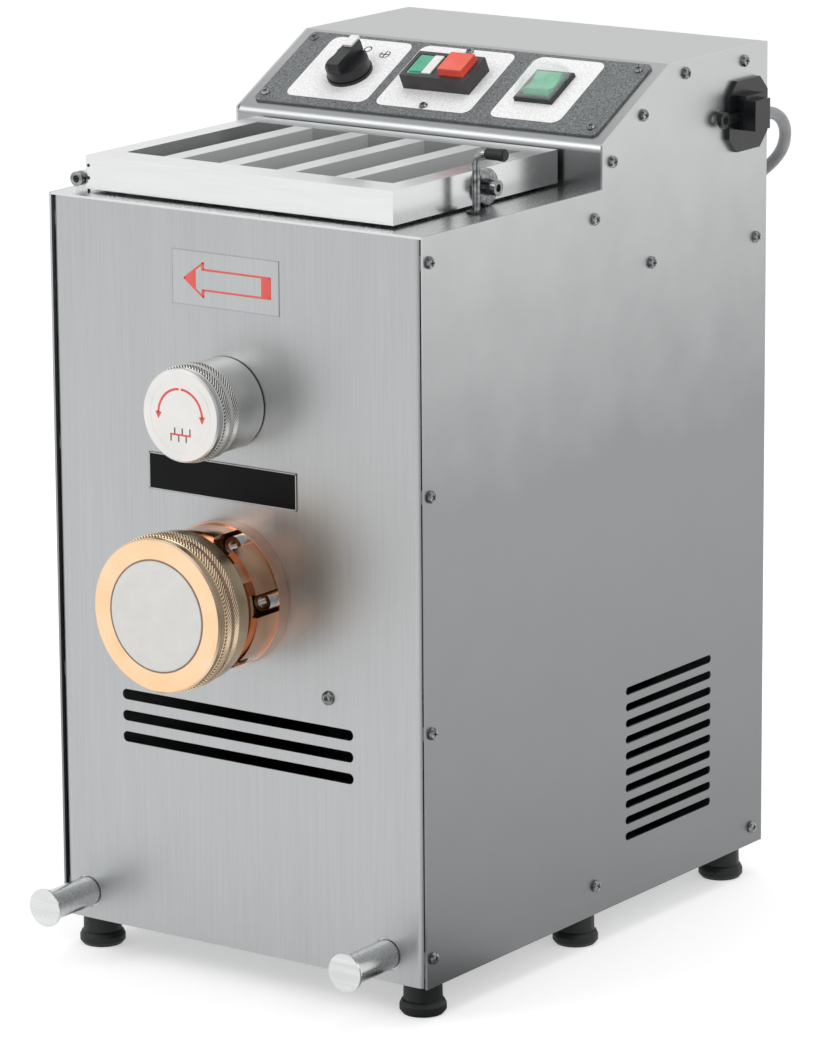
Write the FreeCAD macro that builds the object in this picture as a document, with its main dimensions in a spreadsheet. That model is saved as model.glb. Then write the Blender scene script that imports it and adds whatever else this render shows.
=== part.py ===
# Electric pasta maker: a countertop machine that mixes dough in a lidded tank
# and presses it out through a die at the front.
# Millimetres. X to the viewer's right, Y to the back, Z up, feet on Z = 0.
import FreeCAD, Part
import math
import os
import re
import Sketcher

Vector = FreeCAD.Vector
Rotation = FreeCAD.Rotation
Placement = FreeCAD.Placement

doc = FreeCAD.newDocument("pasta_maker")
sheet = doc.addObject("Spreadsheet::Sheet", "dim")

# Driving dimensions
dimensions = [
    ("width", 290.0, "over the side panels"),
    ("depth", 395.0, "front panel to back panel"),
    ("height", 570.0, "floor to roof"),
    ("sheet", 1.5, "stainless sheet thickness"),
    ("origin_x", -7.5, "casing centre from the middle of the whole footprint"),
    ("origin_y", 37.0, "casing centre from the middle of the whole footprint"),
    ("floor_gap", 22.0, "underside of the casing, height of a foot"),
    ("deck", 500.0, "top of the deck"),
    ("nose", 528.0, "top of the console riser"),
    ("slope_run", 79.0, "console slope, measured along Y"),
    ("bend", 6.0, "outside radius of the casing bends"),
    ("axis", -5.5, "common centre line of tank, mixer and die"),
    ("press", 258.0, "height of the pressing screw axis"),
    ("mixer", 380.0, "height of the mixing shaft axis"),
    ("drive", 120.0, "height of the motor axis"),
    ("flange_radius", 46.8, "die head flange"),
    ("flange_thick", 10.5, "die head flange"),
    ("drum_radius", 45.8, "scalloped part of the die head"),
    ("drum_length", 21.5, "scalloped part of the die head"),
    ("neck_radius", 41.0, "neck that the ring nut closes on"),
    ("neck_length", 29.5, "neck in front of the drum"),
    ("barrel_radius", 28.0, "pressing barrel outside"),
    ("bore_radius", 22.0, "pressing barrel bore"),
    ("ring_radius", 49.2, "ring nut outside"),
    ("ring_face", 75.5, "ring nut face in front of the panel"),
    ("ring_length", 32.0, "ring nut along its axis"),
    ("plug_radius", 35.7, "white closing plug"),
    ("bolt_circle", 39.8, "socket screws in the die head"),
    ("bolt_head", 6.3, "head radius of those screws"),
    ("knob_radius", 29.8, "mixer knob"),
    ("knob_face", 48.0, "mixer knob face in front of the panel"),
    ("peg_height", 40.0, "front pegs above the floor"),
    ("peg_reach", 119.5, "front pegs either side of the centre line"),
    ("peg_radius", 9.8, "front peg stem"),
    ("peg_head", 12.6, "front peg head radius"),
    ("peg_length", 45.5, "front peg in front of the panel"),
    ("tank_radius", 92.0, "outside radius of the tank trough"),
    ("tank_wall", 2.0, "tank sheet"),
    ("tank_front", -176.0, "tank front wall, outside"),
    ("tank_back", -10.0, "tank back wall, outside"),
    ("lid_left", -125.5, "lid, left wall"),
    ("lid_width", 239.0, "lid along X"),
    ("lid_front", -184.0, "lid, front wall"),
    ("lid_depth", 180.0, "lid along Y"),
    ("lid_bottom", 502.0, "lid lower edge"),
    ("lid_high", 21.5, "lid wall height"),
    ("lid_rim", 15.0, "lid top rim at the left"),
    ("lid_front_rim", 22.7, "lid top rim at the front"),
    ("slot_wide", 30.0, "gap between two lid bars"),
    ("bar_wide", 14.5, "lid bar"),
    ("bar_deep", 18.0, "lid bar height"),
    ("slot_long", 139.0, "lid gap along Y"),
    ("hinge_x", -131.0, "lid hinge axis"),
    ("hinge_z", 508.0, "lid hinge axis"),
    ("latch_x", 124.5, "latch rod axis"),
    ("latch_y", -110.8, "latch rod axis"),
    ("latch_radius", 2.5, "latch rod"),
    ("arm_z", 538.0, "latch arm centre line"),
    ("catch_y", -87.0, "catch disc on the lid"),
    ("catch_z", 512.0, "catch disc on the lid"),
    ("vent_low", 65.3, "lowest side vent"),
    ("vent_pitch", 10.96, "side vents"),
    ("vent_start", 28.7, "front end of a side vent"),
    ("vent_long", 103.3, "side vent length"),
    ("vent_tall", 5.4, "side vent height"),
    ("slit_low", 150.0, "lowest front slit"),
    ("slit_pitch", 14.1, "front slits"),
    ("slit_long", 182.8, "front slit length"),
    ("slit_tall", 7.0, "front slit height"),
    ("foot_base", 15.0, "foot radius on the floor"),
    ("foot_top", 12.3, "foot radius at the casing"),
    ("cord_radius", 4.1, "mains lead"),
    ("gland_y", 169.0, "cord gland on the right panel"),
    ("gland_z", 525.5, "cord gland on the right panel"),
]
for row, (alias, value, note) in enumerate(dimensions, start=1):
    sheet.set(f"A{row}", alias)
    sheet.set(f"B{row}", str(value))
    sheet.set(f"C{row}", note)
    sheet.setAlias(f"B{row}", alias)
doc.recompute()


def cells(text):
    """Write a size in terms of the sheet: every word is one of its aliases."""
    return re.sub(r"\b([a-z][a-z_]+)\b", r"dim.\1", str(text))


def size(text):
    """The present value of a size written in terms of the sheet."""
    return float(sheet.evalExpression(cells(text)))


nodes = []


def keep(thing, name):
    """Set a finished sub-part, drawn about the casing's centre, in the part's own frame."""
    thing.Label = name + "_form"
    placed = doc.addObject("Part::Compound", "sub_part")
    placed.Links = [thing]
    move(placed, "origin_x", "origin_y", "0")
    placed.Label = name
    nodes.append(placed)
    return thing


def move(thing, x, y, z):
    """Bind the base point of an object to the sheet."""
    for letter, text in zip("xyz", (x, y, z)):
        thing.setExpression(f"Placement.Base.{letter}", cells(text))


def block(x, y, z, long, wide, tall):
    """Box from its lowest corner and three sizes."""
    box = doc.addObject("Part::Box", "block")
    for side, text in zip(("Length", "Width", "Height"), (long, wide, tall)):
        box.setExpression(side, cells(text))
    move(box, x, y, z)
    return box


turns = {
    "x": Rotation(Vector(0, 1, 0), 90),
    "y": Rotation(Vector(1, 0, 0), -90),
    "z": Rotation(),
}


def rod(along, x, y, z, radius, length):
    """Cylinder along an axis from the centre of its first face."""
    cylinder = doc.addObject("Part::Cylinder", "rod")
    cylinder.Placement = Placement(Vector(), turns[along])
    cylinder.setExpression("Radius", cells(radius))
    cylinder.setExpression("Height", cells(length))
    move(cylinder, x, y, z)
    return cylinder


def join(*parts):
    """One solid out of several."""
    if len(parts) == 1:
        return parts[0]
    whole = doc.addObject("Part::MultiFuse", "joined")
    whole.Shapes = list(parts)
    return whole


def group(*parts):
    """Separate solids in one sub-part."""
    whole = doc.addObject("Part::Compound", "group")
    whole.Links = list(parts)
    return whole


def cut(base, *tools):
    """A base with its tools taken out."""
    rest = doc.addObject("Part::Cut", "cut")
    rest.Base = base
    rest.Tool = join(*tools)
    return rest


def slot(along, x, y, z, long, tall, deep):
    """Round-ended slot along X or Y, cut through a sheet that is `deep` thick."""
    radius = f"({tall})/2"
    if along == "x":
        middle = block(f"{x}+{radius}", y, f"{z}-{radius}", f"({long})-({tall})", deep, tall)
        ends = [rod("y", f"{x}+{radius}", y, z, radius, deep),
                rod("y", f"{x}+({long})-{radius}", y, z, radius, deep)]
    else:
        middle = block(x, f"{y}+{radius}", f"{z}-{radius}", deep, f"({long})-({tall})", tall)
        ends = [rod("x", x, f"{y}+{radius}", z, radius, deep),
                rod("x", x, f"{y}+({long})-{radius}", z, radius, deep)]
    return join(middle, *ends)


def sketched(name, plane, points):
    """A body with a closed polygon sketch whose corners are bound to the sheet."""
    body = doc.addObject("PartDesign::Body", name)
    sketch = body.newObject("Sketcher::SketchObject", name + "_outline")
    face = [item for item in body.Origin.OriginFeatures if item.Role == plane][0]
    sketch.AttachmentSupport = (face, [""])
    sketch.MapMode = "FlatFace"
    corners = [Vector(size(u), size(v), 0) for u, v in points]
    count = len(corners)
    for index in range(count):
        sketch.addGeometry(Part.LineSegment(corners[index], corners[(index + 1) % count]), False)
    for index in range(count):
        sketch.addConstraint(Sketcher.Constraint("Coincident", index, 2, (index + 1) % count, 1))
    for index, texts in enumerate(points):
        for kind, text in zip(("DistanceX", "DistanceY"), texts):
            number = sketch.addConstraint(Sketcher.Constraint(kind, -1, 1, index, 1, size(text)))
            sketch.setExpression(f"Constraints[{number}]", cells(text))
    return body, sketch


def turned(name, along, points, x="0", y="0", z="0"):
    """Turned piece: an outline of (radius, distance along the axis) spun about the axis."""
    plane = {"x": "XY_Plane", "y": "XY_Plane", "z": "XZ_Plane"}[along]
    if along == "x":
        points = [(v, u) for u, v in points]
    body, sketch = sketched(name, plane, points)
    spin = body.newObject("PartDesign::Revolution", name + "_spin")
    spin.Profile = sketch
    spin.ReferenceAxis = (sketch, ["H_Axis" if along == "x" else "V_Axis"])
    spin.Angle = 360
    move(body, x, y, z)
    return body


def drawn(name, plane, points, length, both=False):
    """Drawn section: a polygon padded along its plane's normal."""
    body, sketch = sketched(name, plane, points)
    pad = body.newObject("PartDesign::Pad", name + "_pad")
    pad.Profile = sketch
    pad.setExpression("Length", cells(length))
    pad.Midplane = both
    return body


def shaped(shape):
    """A piece whose form comes from its own geometry."""
    piece = doc.addObject("Part::Feature", "shaped")
    piece.Shape = shape
    return piece


def copies(template, spots):
    """The same piece at several places, as separate solids of one sub-part."""
    doc.recompute()
    shape = template.Shape
    return shaped(Part.makeCompound([shape.transformed(spot.toMatrix(), True) for spot in spots]))


def at(x, y, z, turn=None):
    return Placement(Vector(x, y, z), turn or Rotation())


front = "-depth/2"
back = "depth/2"
side = "width/2"
inner = "(width/2-sheet)"

# Pan-head screws of the casing, and the holes for their shanks
def pan_head(name):
    """Cross-recess pan head screw, head on +Z, shank down."""
    return turned(name, "z", [
        ("0", "-7"), ("1.9", "-7"), ("1.9", "0"), ("4", "0"), ("4", "1.2"), ("3.2", "2.5"),
        ("1.6", "3"), ("0", "3")])


panel_screw = pan_head("panel_screw")
screw_spots = [
    (-191.3, 483.6), (-191.3, 337.6), (-191.3, 187.1), (-191.3, 41.5), (-7.6, 41.4),
    (184.0, 34.0), (184.0, 441.0), (168.2, 560.6), (96.9, 561.8), (46.8, 541.2),
    (11.1, 516.3), (-9.3, 482.4), (57.0, 444.1)]
half = size("width") / 2
back_spots = [(x, z) for x in (-134.0, 134.0) for z in (40.0, 300.0, 556.0)]
casing_spots = [at(half * sign, y, z, Rotation(Vector(0, 1, 0), 90 * sign))
                for sign in (1, -1) for y, z in screw_spots]
casing_spots += [at(x, size(back), z, turns["y"]) for x, z in back_spots]
shank_holes = copies(rod("z", "0", "0", "-7.6", "2", "8.6"), casing_spots)

# Casing
base_tray = cut(
    block(f"-{inner}", f"{front}+14", "floor_gap", f"2*{inner}", "depth-14-sheet", "24"),
    block(f"-{inner}+2", f"{front}+16", "floor_gap+2", f"2*{inner}-4", "depth-18-sheet", "30"))
motor_cradle = cut(
    block("axis-46", "50", "floor_gap+2", "92", "100", "drive-floor_gap-2"),
    rod("y", "axis", "40", "drive", "56.5", "130"),
    block("axis-42", "45", "drive-42", "84", "43", "84"),
    block("axis-36", "40", "floor_gap+8", "72", "120", "22"))
base_pan = keep(cut(join(base_tray, motor_cradle), shank_holes), "base_pan")

front_outer = block(f"-{inner}", front, "floor_gap", f"2*{inner}", "14", "deck-sheet-floor_gap")
doc.recompute()
front_bent = doc.addObject("Part::Fillet", "front_bent")
front_bent.Base = front_outer
front_y = -size("depth") / 2
corner_edges = [
    index for index, edge in enumerate(front_outer.Shape.Edges, start=1)
    if abs(edge.BoundBox.ZLength - size("deck-sheet-floor_gap")) < 0.01
    and abs(edge.BoundBox.YMin - front_y) < 0.01]
front_bent.Edges = [(index, size("bend"), size("bend")) for index in corner_edges]
panel_deep = "sheet+4"
panel_start = f"{front}-2"
slits = [slot("x", "axis-slit_long/2+3.6", panel_start, f"slit_low+{number}*slit_pitch",
              "slit_long", "slit_tall", panel_deep) for number in range(3)]
head_angles = [4 + 60 * number for number in range(6)]
bolt_spots = [(size("bolt_circle") * math.cos(math.radians(angle)),
               size("bolt_circle") * math.sin(math.radians(angle))) for angle in head_angles]
front_panel = cut(
    front_bent,
    block(f"-{inner}+sheet", f"{front}+sheet", "floor_gap-1", f"2*{inner}-2*sheet", "20", "deck"),
    rod("y", "axis", panel_start, "mixer", "knob_radius-2", panel_deep),
    rod("y", "axis", panel_start, "press", "barrel_radius+0.5", panel_deep),
    rod("y", "axis-peg_reach", panel_start, "peg_height", "peg_radius+0.8", panel_deep),
    rod("y", "axis+peg_reach", panel_start, "peg_height", "peg_radius+0.8", panel_deep),
    rod("y", "70.6", panel_start, "200", "2.6", panel_deep),
    shank_holes,
    *[rod("y", f"axis+({across:.4f})", panel_start, f"press+({up:.4f})", "4.2", panel_deep)
      for across, up in bolt_spots],
    *slits)
keep(front_panel, "front_panel")

side_outline = [
    (front, "floor_gap"), (back, "floor_gap"), (back, "height"), (f"slope_run", "height"),
    ("0", "nose"), ("0", "deck"), (front, "deck")]
for name, start in (("right_side_panel", inner), ("left_side_panel", "-width/2")):
    plate = drawn(name + "_plate", "YZ_Plane", side_outline, "sheet")
    move(plate, start, "0", "0")
    vents = [slot("y", f"{start}-1", "vent_start", f"vent_low+{number}*vent_pitch",
                  "vent_long", "vent_tall", "sheet+2") for number in range(10)]
    holes = [rod("x", f"{start}-1", "gland_y", "gland_z", "9", "sheet+2")]
    keep(cut(plate, shank_holes, *(vents + holes if start == inner else [])), name)

deck_outer = block(f"-{inner}", front, "deck-sheet", f"2*{inner}", "depth/2+sheet", "sheet")
keep(cut(
    deck_outer,
    block("axis-tank_radius+tank_wall", "tank_front+tank_wall", "deck-5",
          "2*(tank_radius-tank_wall)", "tank_back-tank_front-2*tank_wall", "10"),
    rod("z", "latch_x", "latch_y", "deck-5", "5", "10"), shank_holes), "deck_sheet")

slope_rise = size("height-nose")
slope_length = math.hypot(size("slope_run"), slope_rise)
slope_angle = math.degrees(math.atan2(slope_rise, size("slope_run")))
slope_sin = math.sin(math.radians(slope_angle))
slope_cos = math.cos(math.radians(slope_angle))
# The sheet is one thickness along its own normal, so its inner corners are set back.
corner_low = f"sheet*{(1 - slope_sin) / slope_cos:.6f}"
corner_high = f"sheet*{slope_sin / (1 + slope_cos):.6f}"
console_outline = [
    ("0", "deck"), ("0", "nose"), ("slope_run", "height"), ("depth/2-sheet", "height"),
    ("depth/2-sheet", "height-sheet"), (f"slope_run+{corner_high}", "height-sheet"),
    ("sheet", f"nose-{corner_low}"), ("sheet", "deck")]
console_flat = drawn("console_flat", "YZ_Plane", console_outline, f"2*{inner}", both=True)
doc.recompute()
console_plate = doc.addObject("Part::Fillet", "console_plate")
console_plate.Base = console_flat
nose_edges = []
for index, edge in enumerate(console_flat.Shape.Edges, start=1):
    middle = edge.BoundBox.Center
    for y, z, radius in ((0.0, size("nose"), 8.0), (size("sheet"), size(f"nose-{corner_low}"), 6.5),
                         (size("slope_run"), size("height"), 5.0),
                         (size("slope_run") + 0.35, size("height-sheet"), 3.5)):
        if edge.BoundBox.XLength > 100 and abs(middle.y - y) < 0.1 and abs(middle.z - z) < 0.1:
            nose_edges.append((index, radius, radius))
console_plate.Edges = nose_edges
if len(nose_edges) != 4:
    raise RuntimeError("the console's bends were not found")
slope_place = Placement(Vector(0, 0, size("nose")), Rotation(Vector(1, 0, 0), slope_angle))


def tilt(thing):
    """Set a piece that was made flat, X across and Y up the slope, on the console."""
    thing.Placement = slope_place
    return thing


selector_x, selector_u = "-79.5", "44.7"
switch_x, switch_u = "-4.4", "48.4"
rocker_x, rocker_u = "72.5", "49.3"


def console_holes():
    """Cut-outs for the three controls, through slope and overlay."""
    return join(
        rod("z", selector_x, selector_u, "-5", "9", "12"),
        block(f"{switch_x}-23", f"{switch_u}-10.5", "-5", "46", "21", "12"),
        block(f"{rocker_x}-11", f"{rocker_u}-12.5", "-5", "22", "25", "12"))


console_shell = keep(cut(console_plate, tilt(console_holes()), shank_holes), "console_shell")

back_outer = block(f"-{inner}", f"{back}-sheet", "floor_gap", f"2*{inner}", "sheet", "height-floor_gap")
keep(cut(back_outer, *[
    slot("x", "-60", f"{back}-sheet-2", f"150+{number}*14", "120", "vent_tall", "sheet+4")
    for number in range(6)], shank_holes), "back_panel")

# Feet and fasteners of the casing
foot = turned("foot", "z", [
    ("0", "0"), ("foot_base-2", "0"), ("foot_base", "2.5"), ("foot_base", "6"),
    ("foot_base-1.2", "8.5"), ("foot_top+0.3", "9.5"), ("foot_top", "floor_gap"), ("0", "floor_gap")])
foot_spots = [at(x, y, 0) for x in (-128.5, 128.5) for y in (-179.0, -6.0, 172.0)]
keep(copies(foot, foot_spots), "rubber_feet")


button_screw = turned("button_screw", "y", [
    ("0", f"{front}+8"), ("2.5", f"{front}+8"), ("2.5", front), ("4.7", front), ("4.3", f"{front}-1.5"),
    ("2.9", f"{front}-2.6"), ("1.6", f"{front}-2.6"), ("1.6", f"{front}-0.8"), ("0", f"{front}-0.8")],
    "70.6", "0", "200")
keep(group(copies(panel_screw, casing_spots), button_screw), "casing_screws")

# Screwed blocks that the panel screws bite into, one behind each screw
block_half = size(inner)
nut_shapes = []
for sign in (1, -1):
    for y, z in screw_spots:
        nut = Part.makeBox(8, 9, 9, Vector(block_half - 8 if sign > 0 else -block_half, y - 4.5, z - 4.5))
        shank = Part.makeCylinder(1.9, 12, Vector((block_half + 1) * sign, y, z), Vector(-sign, 0, 0))
        nut_shapes.append(nut.cut(shank))
# Blocks beside the front return and the back sheet stop at its inner face.
limits = Part.makeBox(400, size("depth") - 3 - 0.2, 600,
                      Vector(-200, front_y + size("sheet") + 0.1, 0))
front_return = Part.makeBox(2 * block_half, 14, 600, Vector(-block_half, front_y, 0)).cut(
    Part.makeBox(2 * block_half - 3, 14, 600, Vector(-block_half + 1.5, front_y + 1.5, 0)))
doc.recompute()
peg_room = [Part.makeCylinder(14, 30, Vector(size(spot), front_y, size("peg_height")), Vector(0, 1, 0))
            for spot in ("axis-peg_reach", "axis+peg_reach")]
neighbours = peg_room + [shank_holes.Shape, front_return, console_shell.Shape, base_pan.Shape, deck_outer.Shape]
keep(shaped(Part.makeCompound([shape.common(limits).cut(neighbours) for shape in nut_shapes])),
     "screw_blocks")

# Tank
tank_inner_radius = "(tank_radius-tank_wall)"
tank_rim = "deck-sheet"
tank = cut(
    join(block("axis-tank_radius", "tank_front", "mixer", "2*tank_radius", "tank_back-tank_front",
               f"{tank_rim}-mixer"),
         rod("y", "axis", "tank_front", "mixer", "tank_radius", "tank_back-tank_front")),
    block(f"axis-{tank_inner_radius}", "tank_front+tank_wall", "mixer", f"2*{tank_inner_radius}",
          "tank_back-tank_front-2*tank_wall", "200"),
    rod("y", "axis", "tank_front+tank_wall", "mixer", tank_inner_radius,
        "tank_back-tank_front-2*tank_wall"),
    rod("y", "axis", "tank_front-5", "mixer", "13", "200"),
    block("axis-16", "-145", "mixer-100", "32", "100", "40"))
throat = cut(
    block("axis-21", "-150", "press+10", "42", "110", "40"),
    block("axis-16", "-145", "press", "32", "100", "60"),
    rod("y", "axis", "-200", "press", "barrel_radius", "300"),
    rod("y", "axis", "-200", "mixer", "tank_radius", "300"))
keep(join(tank, throat), "mixing_tank")

# Mixer: a boss on the tank, a knob that screws on it and a paddle shaft
boss = turned("mixer_boss", "y", [
    ("8.4", "tank_front+tank_wall"), ("8.4", f"{front}-17"), ("20", f"{front}-17"), ("20", "tank_front-3"),
    ("26", "tank_front-3"), ("26", "tank_front"), ("12.9", "tank_front"), ("12.9", "tank_front+tank_wall")],
    "axis", "0", "mixer")
keep(boss, "mixer_boss")
knob_y = f"({front}-knob_face)"
knob = turned("mixer_knob", "y", [
    ("0", knob_y), ("knob_radius-1.2", knob_y), ("knob_radius-0.2", f"{knob_y}+1"),
    ("knob_radius-0.2", f"{knob_y}+5"), ("knob_radius-0.9", f"{knob_y}+5.6"),
    ("knob_radius+0.2", f"{knob_y}+6.4"), ("knob_radius+0.2", f"{knob_y}+11"),
    ("knob_radius-0.9", f"{knob_y}+11.6"), ("knob_radius-0.9", f"{knob_y}+14.4"),
    ("knob_radius+0.2", f"{knob_y}+15"), ("knob_radius+0.2", f"{knob_y}+19.6"),
    ("knob_radius-0.5", f"{knob_y}+20.4"), ("knob_radius-0.5", f"{front}-1"),
    ("20.4", f"{front}-1"), ("20.4", f"{front}-18"), ("7.9", f"{front}-18"),
    ("7.9", "tank_front+16"), ("0", "tank_front+16")], "axis", "0", "mixer")
keep(knob, "mixer_knob")
shaft_start = "tank_front+3.5"
paddles = []
for number in range(6):
    paddle_y = f"{-160 + 26 * number}"
    angle = 90 * number + (0 if number < 4 else 45)
    arm = doc.addObject("Part::Cylinder", "arm")
    arm.Radius = 5
    arm.setExpression("Height", cells("tank_radius-tank_wall-5"))
    arm.Placement = Placement(Vector(), Rotation(Vector(0, 1, 0), angle))
    move(arm, "axis", paddle_y, "mixer")
    paddles.append(arm)
keep(cut(
    join(rod("y", "axis", shaft_start, "mixer", "12", f"tank_back-tank_wall-1-({shaft_start})"),
         rod("y", "axis", "tank_back-tank_wall-1", "mixer", "9", "46-(tank_back-tank_wall-1)"),
         *paddles),
    rod("y", "axis", "tank_front", "mixer", "8", "18")), "mixing_arm")
mixer_seal = turned("mixer_seal", "y", [
    ("9.1", "tank_back-tank_wall"), ("12.9", "tank_back-tank_wall"), ("12.9", "tank_back+4"),
    ("9.1", "tank_back+4")], "axis", "0", "mixer")

# Die head: flange, scalloped drum and neck in one casting with the barrel
drum_y = f"({front}-flange_thick-drum_length)"
neck_y = f"({front}-flange_thick-drum_length-neck_length)"
head = turned("die_head_turning", "y", [
    ("bore_radius", "-20"), ("bore_radius", f"{neck_y}+13"), ("33", f"{neck_y}+13"), ("33", neck_y),
    ("neck_radius", neck_y), ("neck_radius", f"{drum_y}-3.5"), ("neck_radius+2.2", f"{drum_y}-3.5"),
    ("neck_radius+2.2", drum_y), ("drum_radius", drum_y), ("drum_radius", f"{front}-flange_thick"),
    ("flange_radius", f"{front}-flange_thick"), ("flange_radius", front), ("barrel_radius", front),
    ("barrel_radius", "-20")], "axis", "0", "press")
pockets = []
for angle, (across, up) in zip(head_angles, bolt_spots):
    spot = (f"axis+({across:.4f})", f"press+({up:.4f})")
    pockets.append(rod("y", spot[0], f"{drum_y}-1", spot[1], "bolt_head+0.9", "drum_length+1"))
    pockets.append(rod("y", spot[0], f"{drum_y}-1", spot[1], "4.2", "100"))
    opening = block("0", f"{drum_y}-1", "-bolt_head-0.9", "12", "drum_length+1", "2*bolt_head+1.8")
    opening.Placement = Placement(Vector(), Rotation(Vector(0, 1, 0), -angle))
    reach = size("bolt_head") + 0.9
    radians = math.radians(angle)
    move(opening, f"axis+({across + reach * math.sin(radians):.4f})", f"{drum_y}-1",
         f"press+({up - reach * math.cos(radians):.4f})")
    opening.Placement = Placement(Vector(), Rotation(Vector(0, 1, 0), -angle))
    pockets.append(opening)
lugs = []
for angle in (34, 154, 274):
    lug = block("0", "0", "-7", "4.4", "7.6", "14")
    lug.Placement = Placement(Vector(), Rotation(Vector(0, 1, 0), -angle))
    radians = math.radians(angle)
    inset = size("neck_radius") - 1.5
    move(lug, f"axis+({inset * math.cos(radians) + 7 * math.sin(radians):.4f})", f"{drum_y}-7.6",
         f"press+({inset * math.sin(radians) - 7 * math.cos(radians):.4f})")
    lugs.append(lug)
keep(cut(join(head, *lugs), *pockets,
         block("axis-16", "-145", "press", "32", "100", "60")), "die_head")
keep(group(*[join(
    cut(rod("y", f"axis+({across:.4f})", f"{front}-flange_thick-8.5", f"press+({up:.4f})", "bolt_head", "8.5"),
        rod("y", f"axis+({across:.4f})", f"{front}-flange_thick-9.5", f"press+({up:.4f})", "3.5", "5")),
    rod("y", f"axis+({across:.4f})", f"{front}-flange_thick", f"press+({up:.4f})", "4", "26"))
    for across, up in bolt_spots]), "die_head_screws")

ring_y = f"({front}-ring_face)"
keep(turned("ring_nut", "y", [
    ("plug_radius+0.4", ring_y), ("ring_radius-1", ring_y), ("ring_radius", f"{ring_y}+1"),
    ("ring_radius", f"{ring_y}+5"), ("ring_radius-0.7", f"{ring_y}+5.6"),
    ("ring_radius-0.7", f"{ring_y}+6.6"), ("ring_radius+0.2", f"{ring_y}+7.2"),
    ("ring_radius+0.2", f"{ring_y}+11.4"), ("ring_radius-0.8", f"{ring_y}+12"),
    ("ring_radius-0.8", f"{ring_y}+14"), ("ring_radius+0.2", f"{ring_y}+14.6"),
    ("ring_radius+0.2", f"{ring_y}+19"), ("ring_radius-0.5", f"{ring_y}+19.6"),
    ("ring_radius-0.5", f"{ring_y}+ring_length-1.5"), ("ring_radius-2", f"{ring_y}+ring_length"),
    ("neck_radius+0.5", f"{ring_y}+ring_length"), ("neck_radius+0.5", f"{ring_y}+6"),
    ("plug_radius+0.4", f"{ring_y}+6")], "axis", "0", "press"), "ring_nut")
keep(turned("closing_plug", "y", [
    ("0", f"{ring_y}-1.4"), ("plug_radius-6", f"{ring_y}-1.2"), ("plug_radius-0.8", f"{ring_y}-0.5"),
    ("plug_radius", f"{ring_y}+0.3"), ("plug_radius", f"{ring_y}+6.2"),
    ("neck_radius", f"{ring_y}+6.2"), ("neck_radius", neck_y), ("0", neck_y)],
    "axis", "0", "press"), "closing_plug")
keep(turned("die_insert", "y", [
    ("0", neck_y), ("32.7", neck_y), ("32.7", f"{neck_y}+13"), ("20", f"{neck_y}+13"),
    ("20", f"{neck_y}+5"), ("0", f"{neck_y}+5")], "axis", "0", "press"), "die_insert")

# Pressing screw with its helical flight
screw_y = size(neck_y) + 16.0
flight_end = -24.0
flight_pitch = 33.0
core_radius = 9.0
flight_radius = size("bore_radius") - 0.4
turns_long = flight_end - screw_y - 4.0
helix = Part.makeHelix(flight_pitch, turns_long, core_radius)
section = Part.makePolygon([
    Vector(core_radius - 2, 0, -2), Vector(flight_radius, 0, -1.2), Vector(flight_radius, 0, 1.2),
    Vector(core_radius - 2, 0, 2), Vector(core_radius - 2, 0, -2)])
sweep = Part.BRepOffsetAPI.MakePipeShell(Part.Wire(helix.Edges))
sweep.setFrenetMode(True)
sweep.add(section)
sweep.build()
sweep.makeSolid()
flight = sweep.shape()
core = Part.makeCylinder(core_radius, turns_long + 4.0, Vector(0, 0, -2.0))
auger_shape = core.fuse(flight)
auger_place = Placement(Vector(size("axis"), screw_y + 2.0, size("press")), Rotation(Vector(1, 0, 0), -90))
auger_shape = auger_shape.transformed(auger_place.toMatrix(), True)
tail = Part.makeCylinder(12, 46 - flight_end, Vector(size("axis"), flight_end, size("press")), Vector(0, 1, 0))
keep(shaped(auger_shape.fuse(tail)), "pressing_screw")

# Bearings and the plate that carries them
plate_y = "4"
keep(cut(
    block("axis-75", plate_y, "floor_gap+2", "150", "8", "mixer+30-floor_gap-2"),
    rod("y", "axis", "0", "press", "24", "20"), rod("y", "axis", "0", "mixer", "18", "20"),
    block("axis-50", "0", "floor_gap+40", "100", "20", "drive+36-floor_gap-40")), "bearing_plate")
screw_bush = turned("screw_bush", "y", [
    ("12.05", "-2"), ("24", "-2"), ("24", "16"), ("12.05", "16")], "axis", "0", "press")
mixer_bush = turned("mixer_bush", "y", [
    ("9.05", "-4"), ("18", "-4"), ("18", "16"), ("9.05", "16")], "axis", "0", "mixer")
keep(group(screw_bush, mixer_bush, mixer_seal), "shaft_bushes")

# Chain drive: motor output to pressing screw, pressing screw to mixer
chain_clear = 0.6
chain_thick = 5.0


def sprocket(radius, shaft, height, start, thick, teeth):
    """Toothed wheel around a horizontal shaft; its teeth stop inside the chain."""
    points = []
    for tooth in range(teeth):
        for part, reach in ((0.0, radius - 4), (0.3, radius - 4), (0.45, radius), (0.65, radius), (0.8, radius - 4)):
            angle = 2 * math.pi * (tooth + part) / teeth
            points.append(Vector(reach * math.cos(angle), 0, reach * math.sin(angle)))
    points.append(points[0])
    wheel = Part.Face(Part.makePolygon(points)).extrude(Vector(0, thick, 0))
    wheel = wheel.cut(Part.makeCylinder(shaft, thick, Vector(), Vector(0, 1, 0)))
    wheel.translate(Vector(size("axis"), start, height))
    return shaped(wheel)


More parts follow.
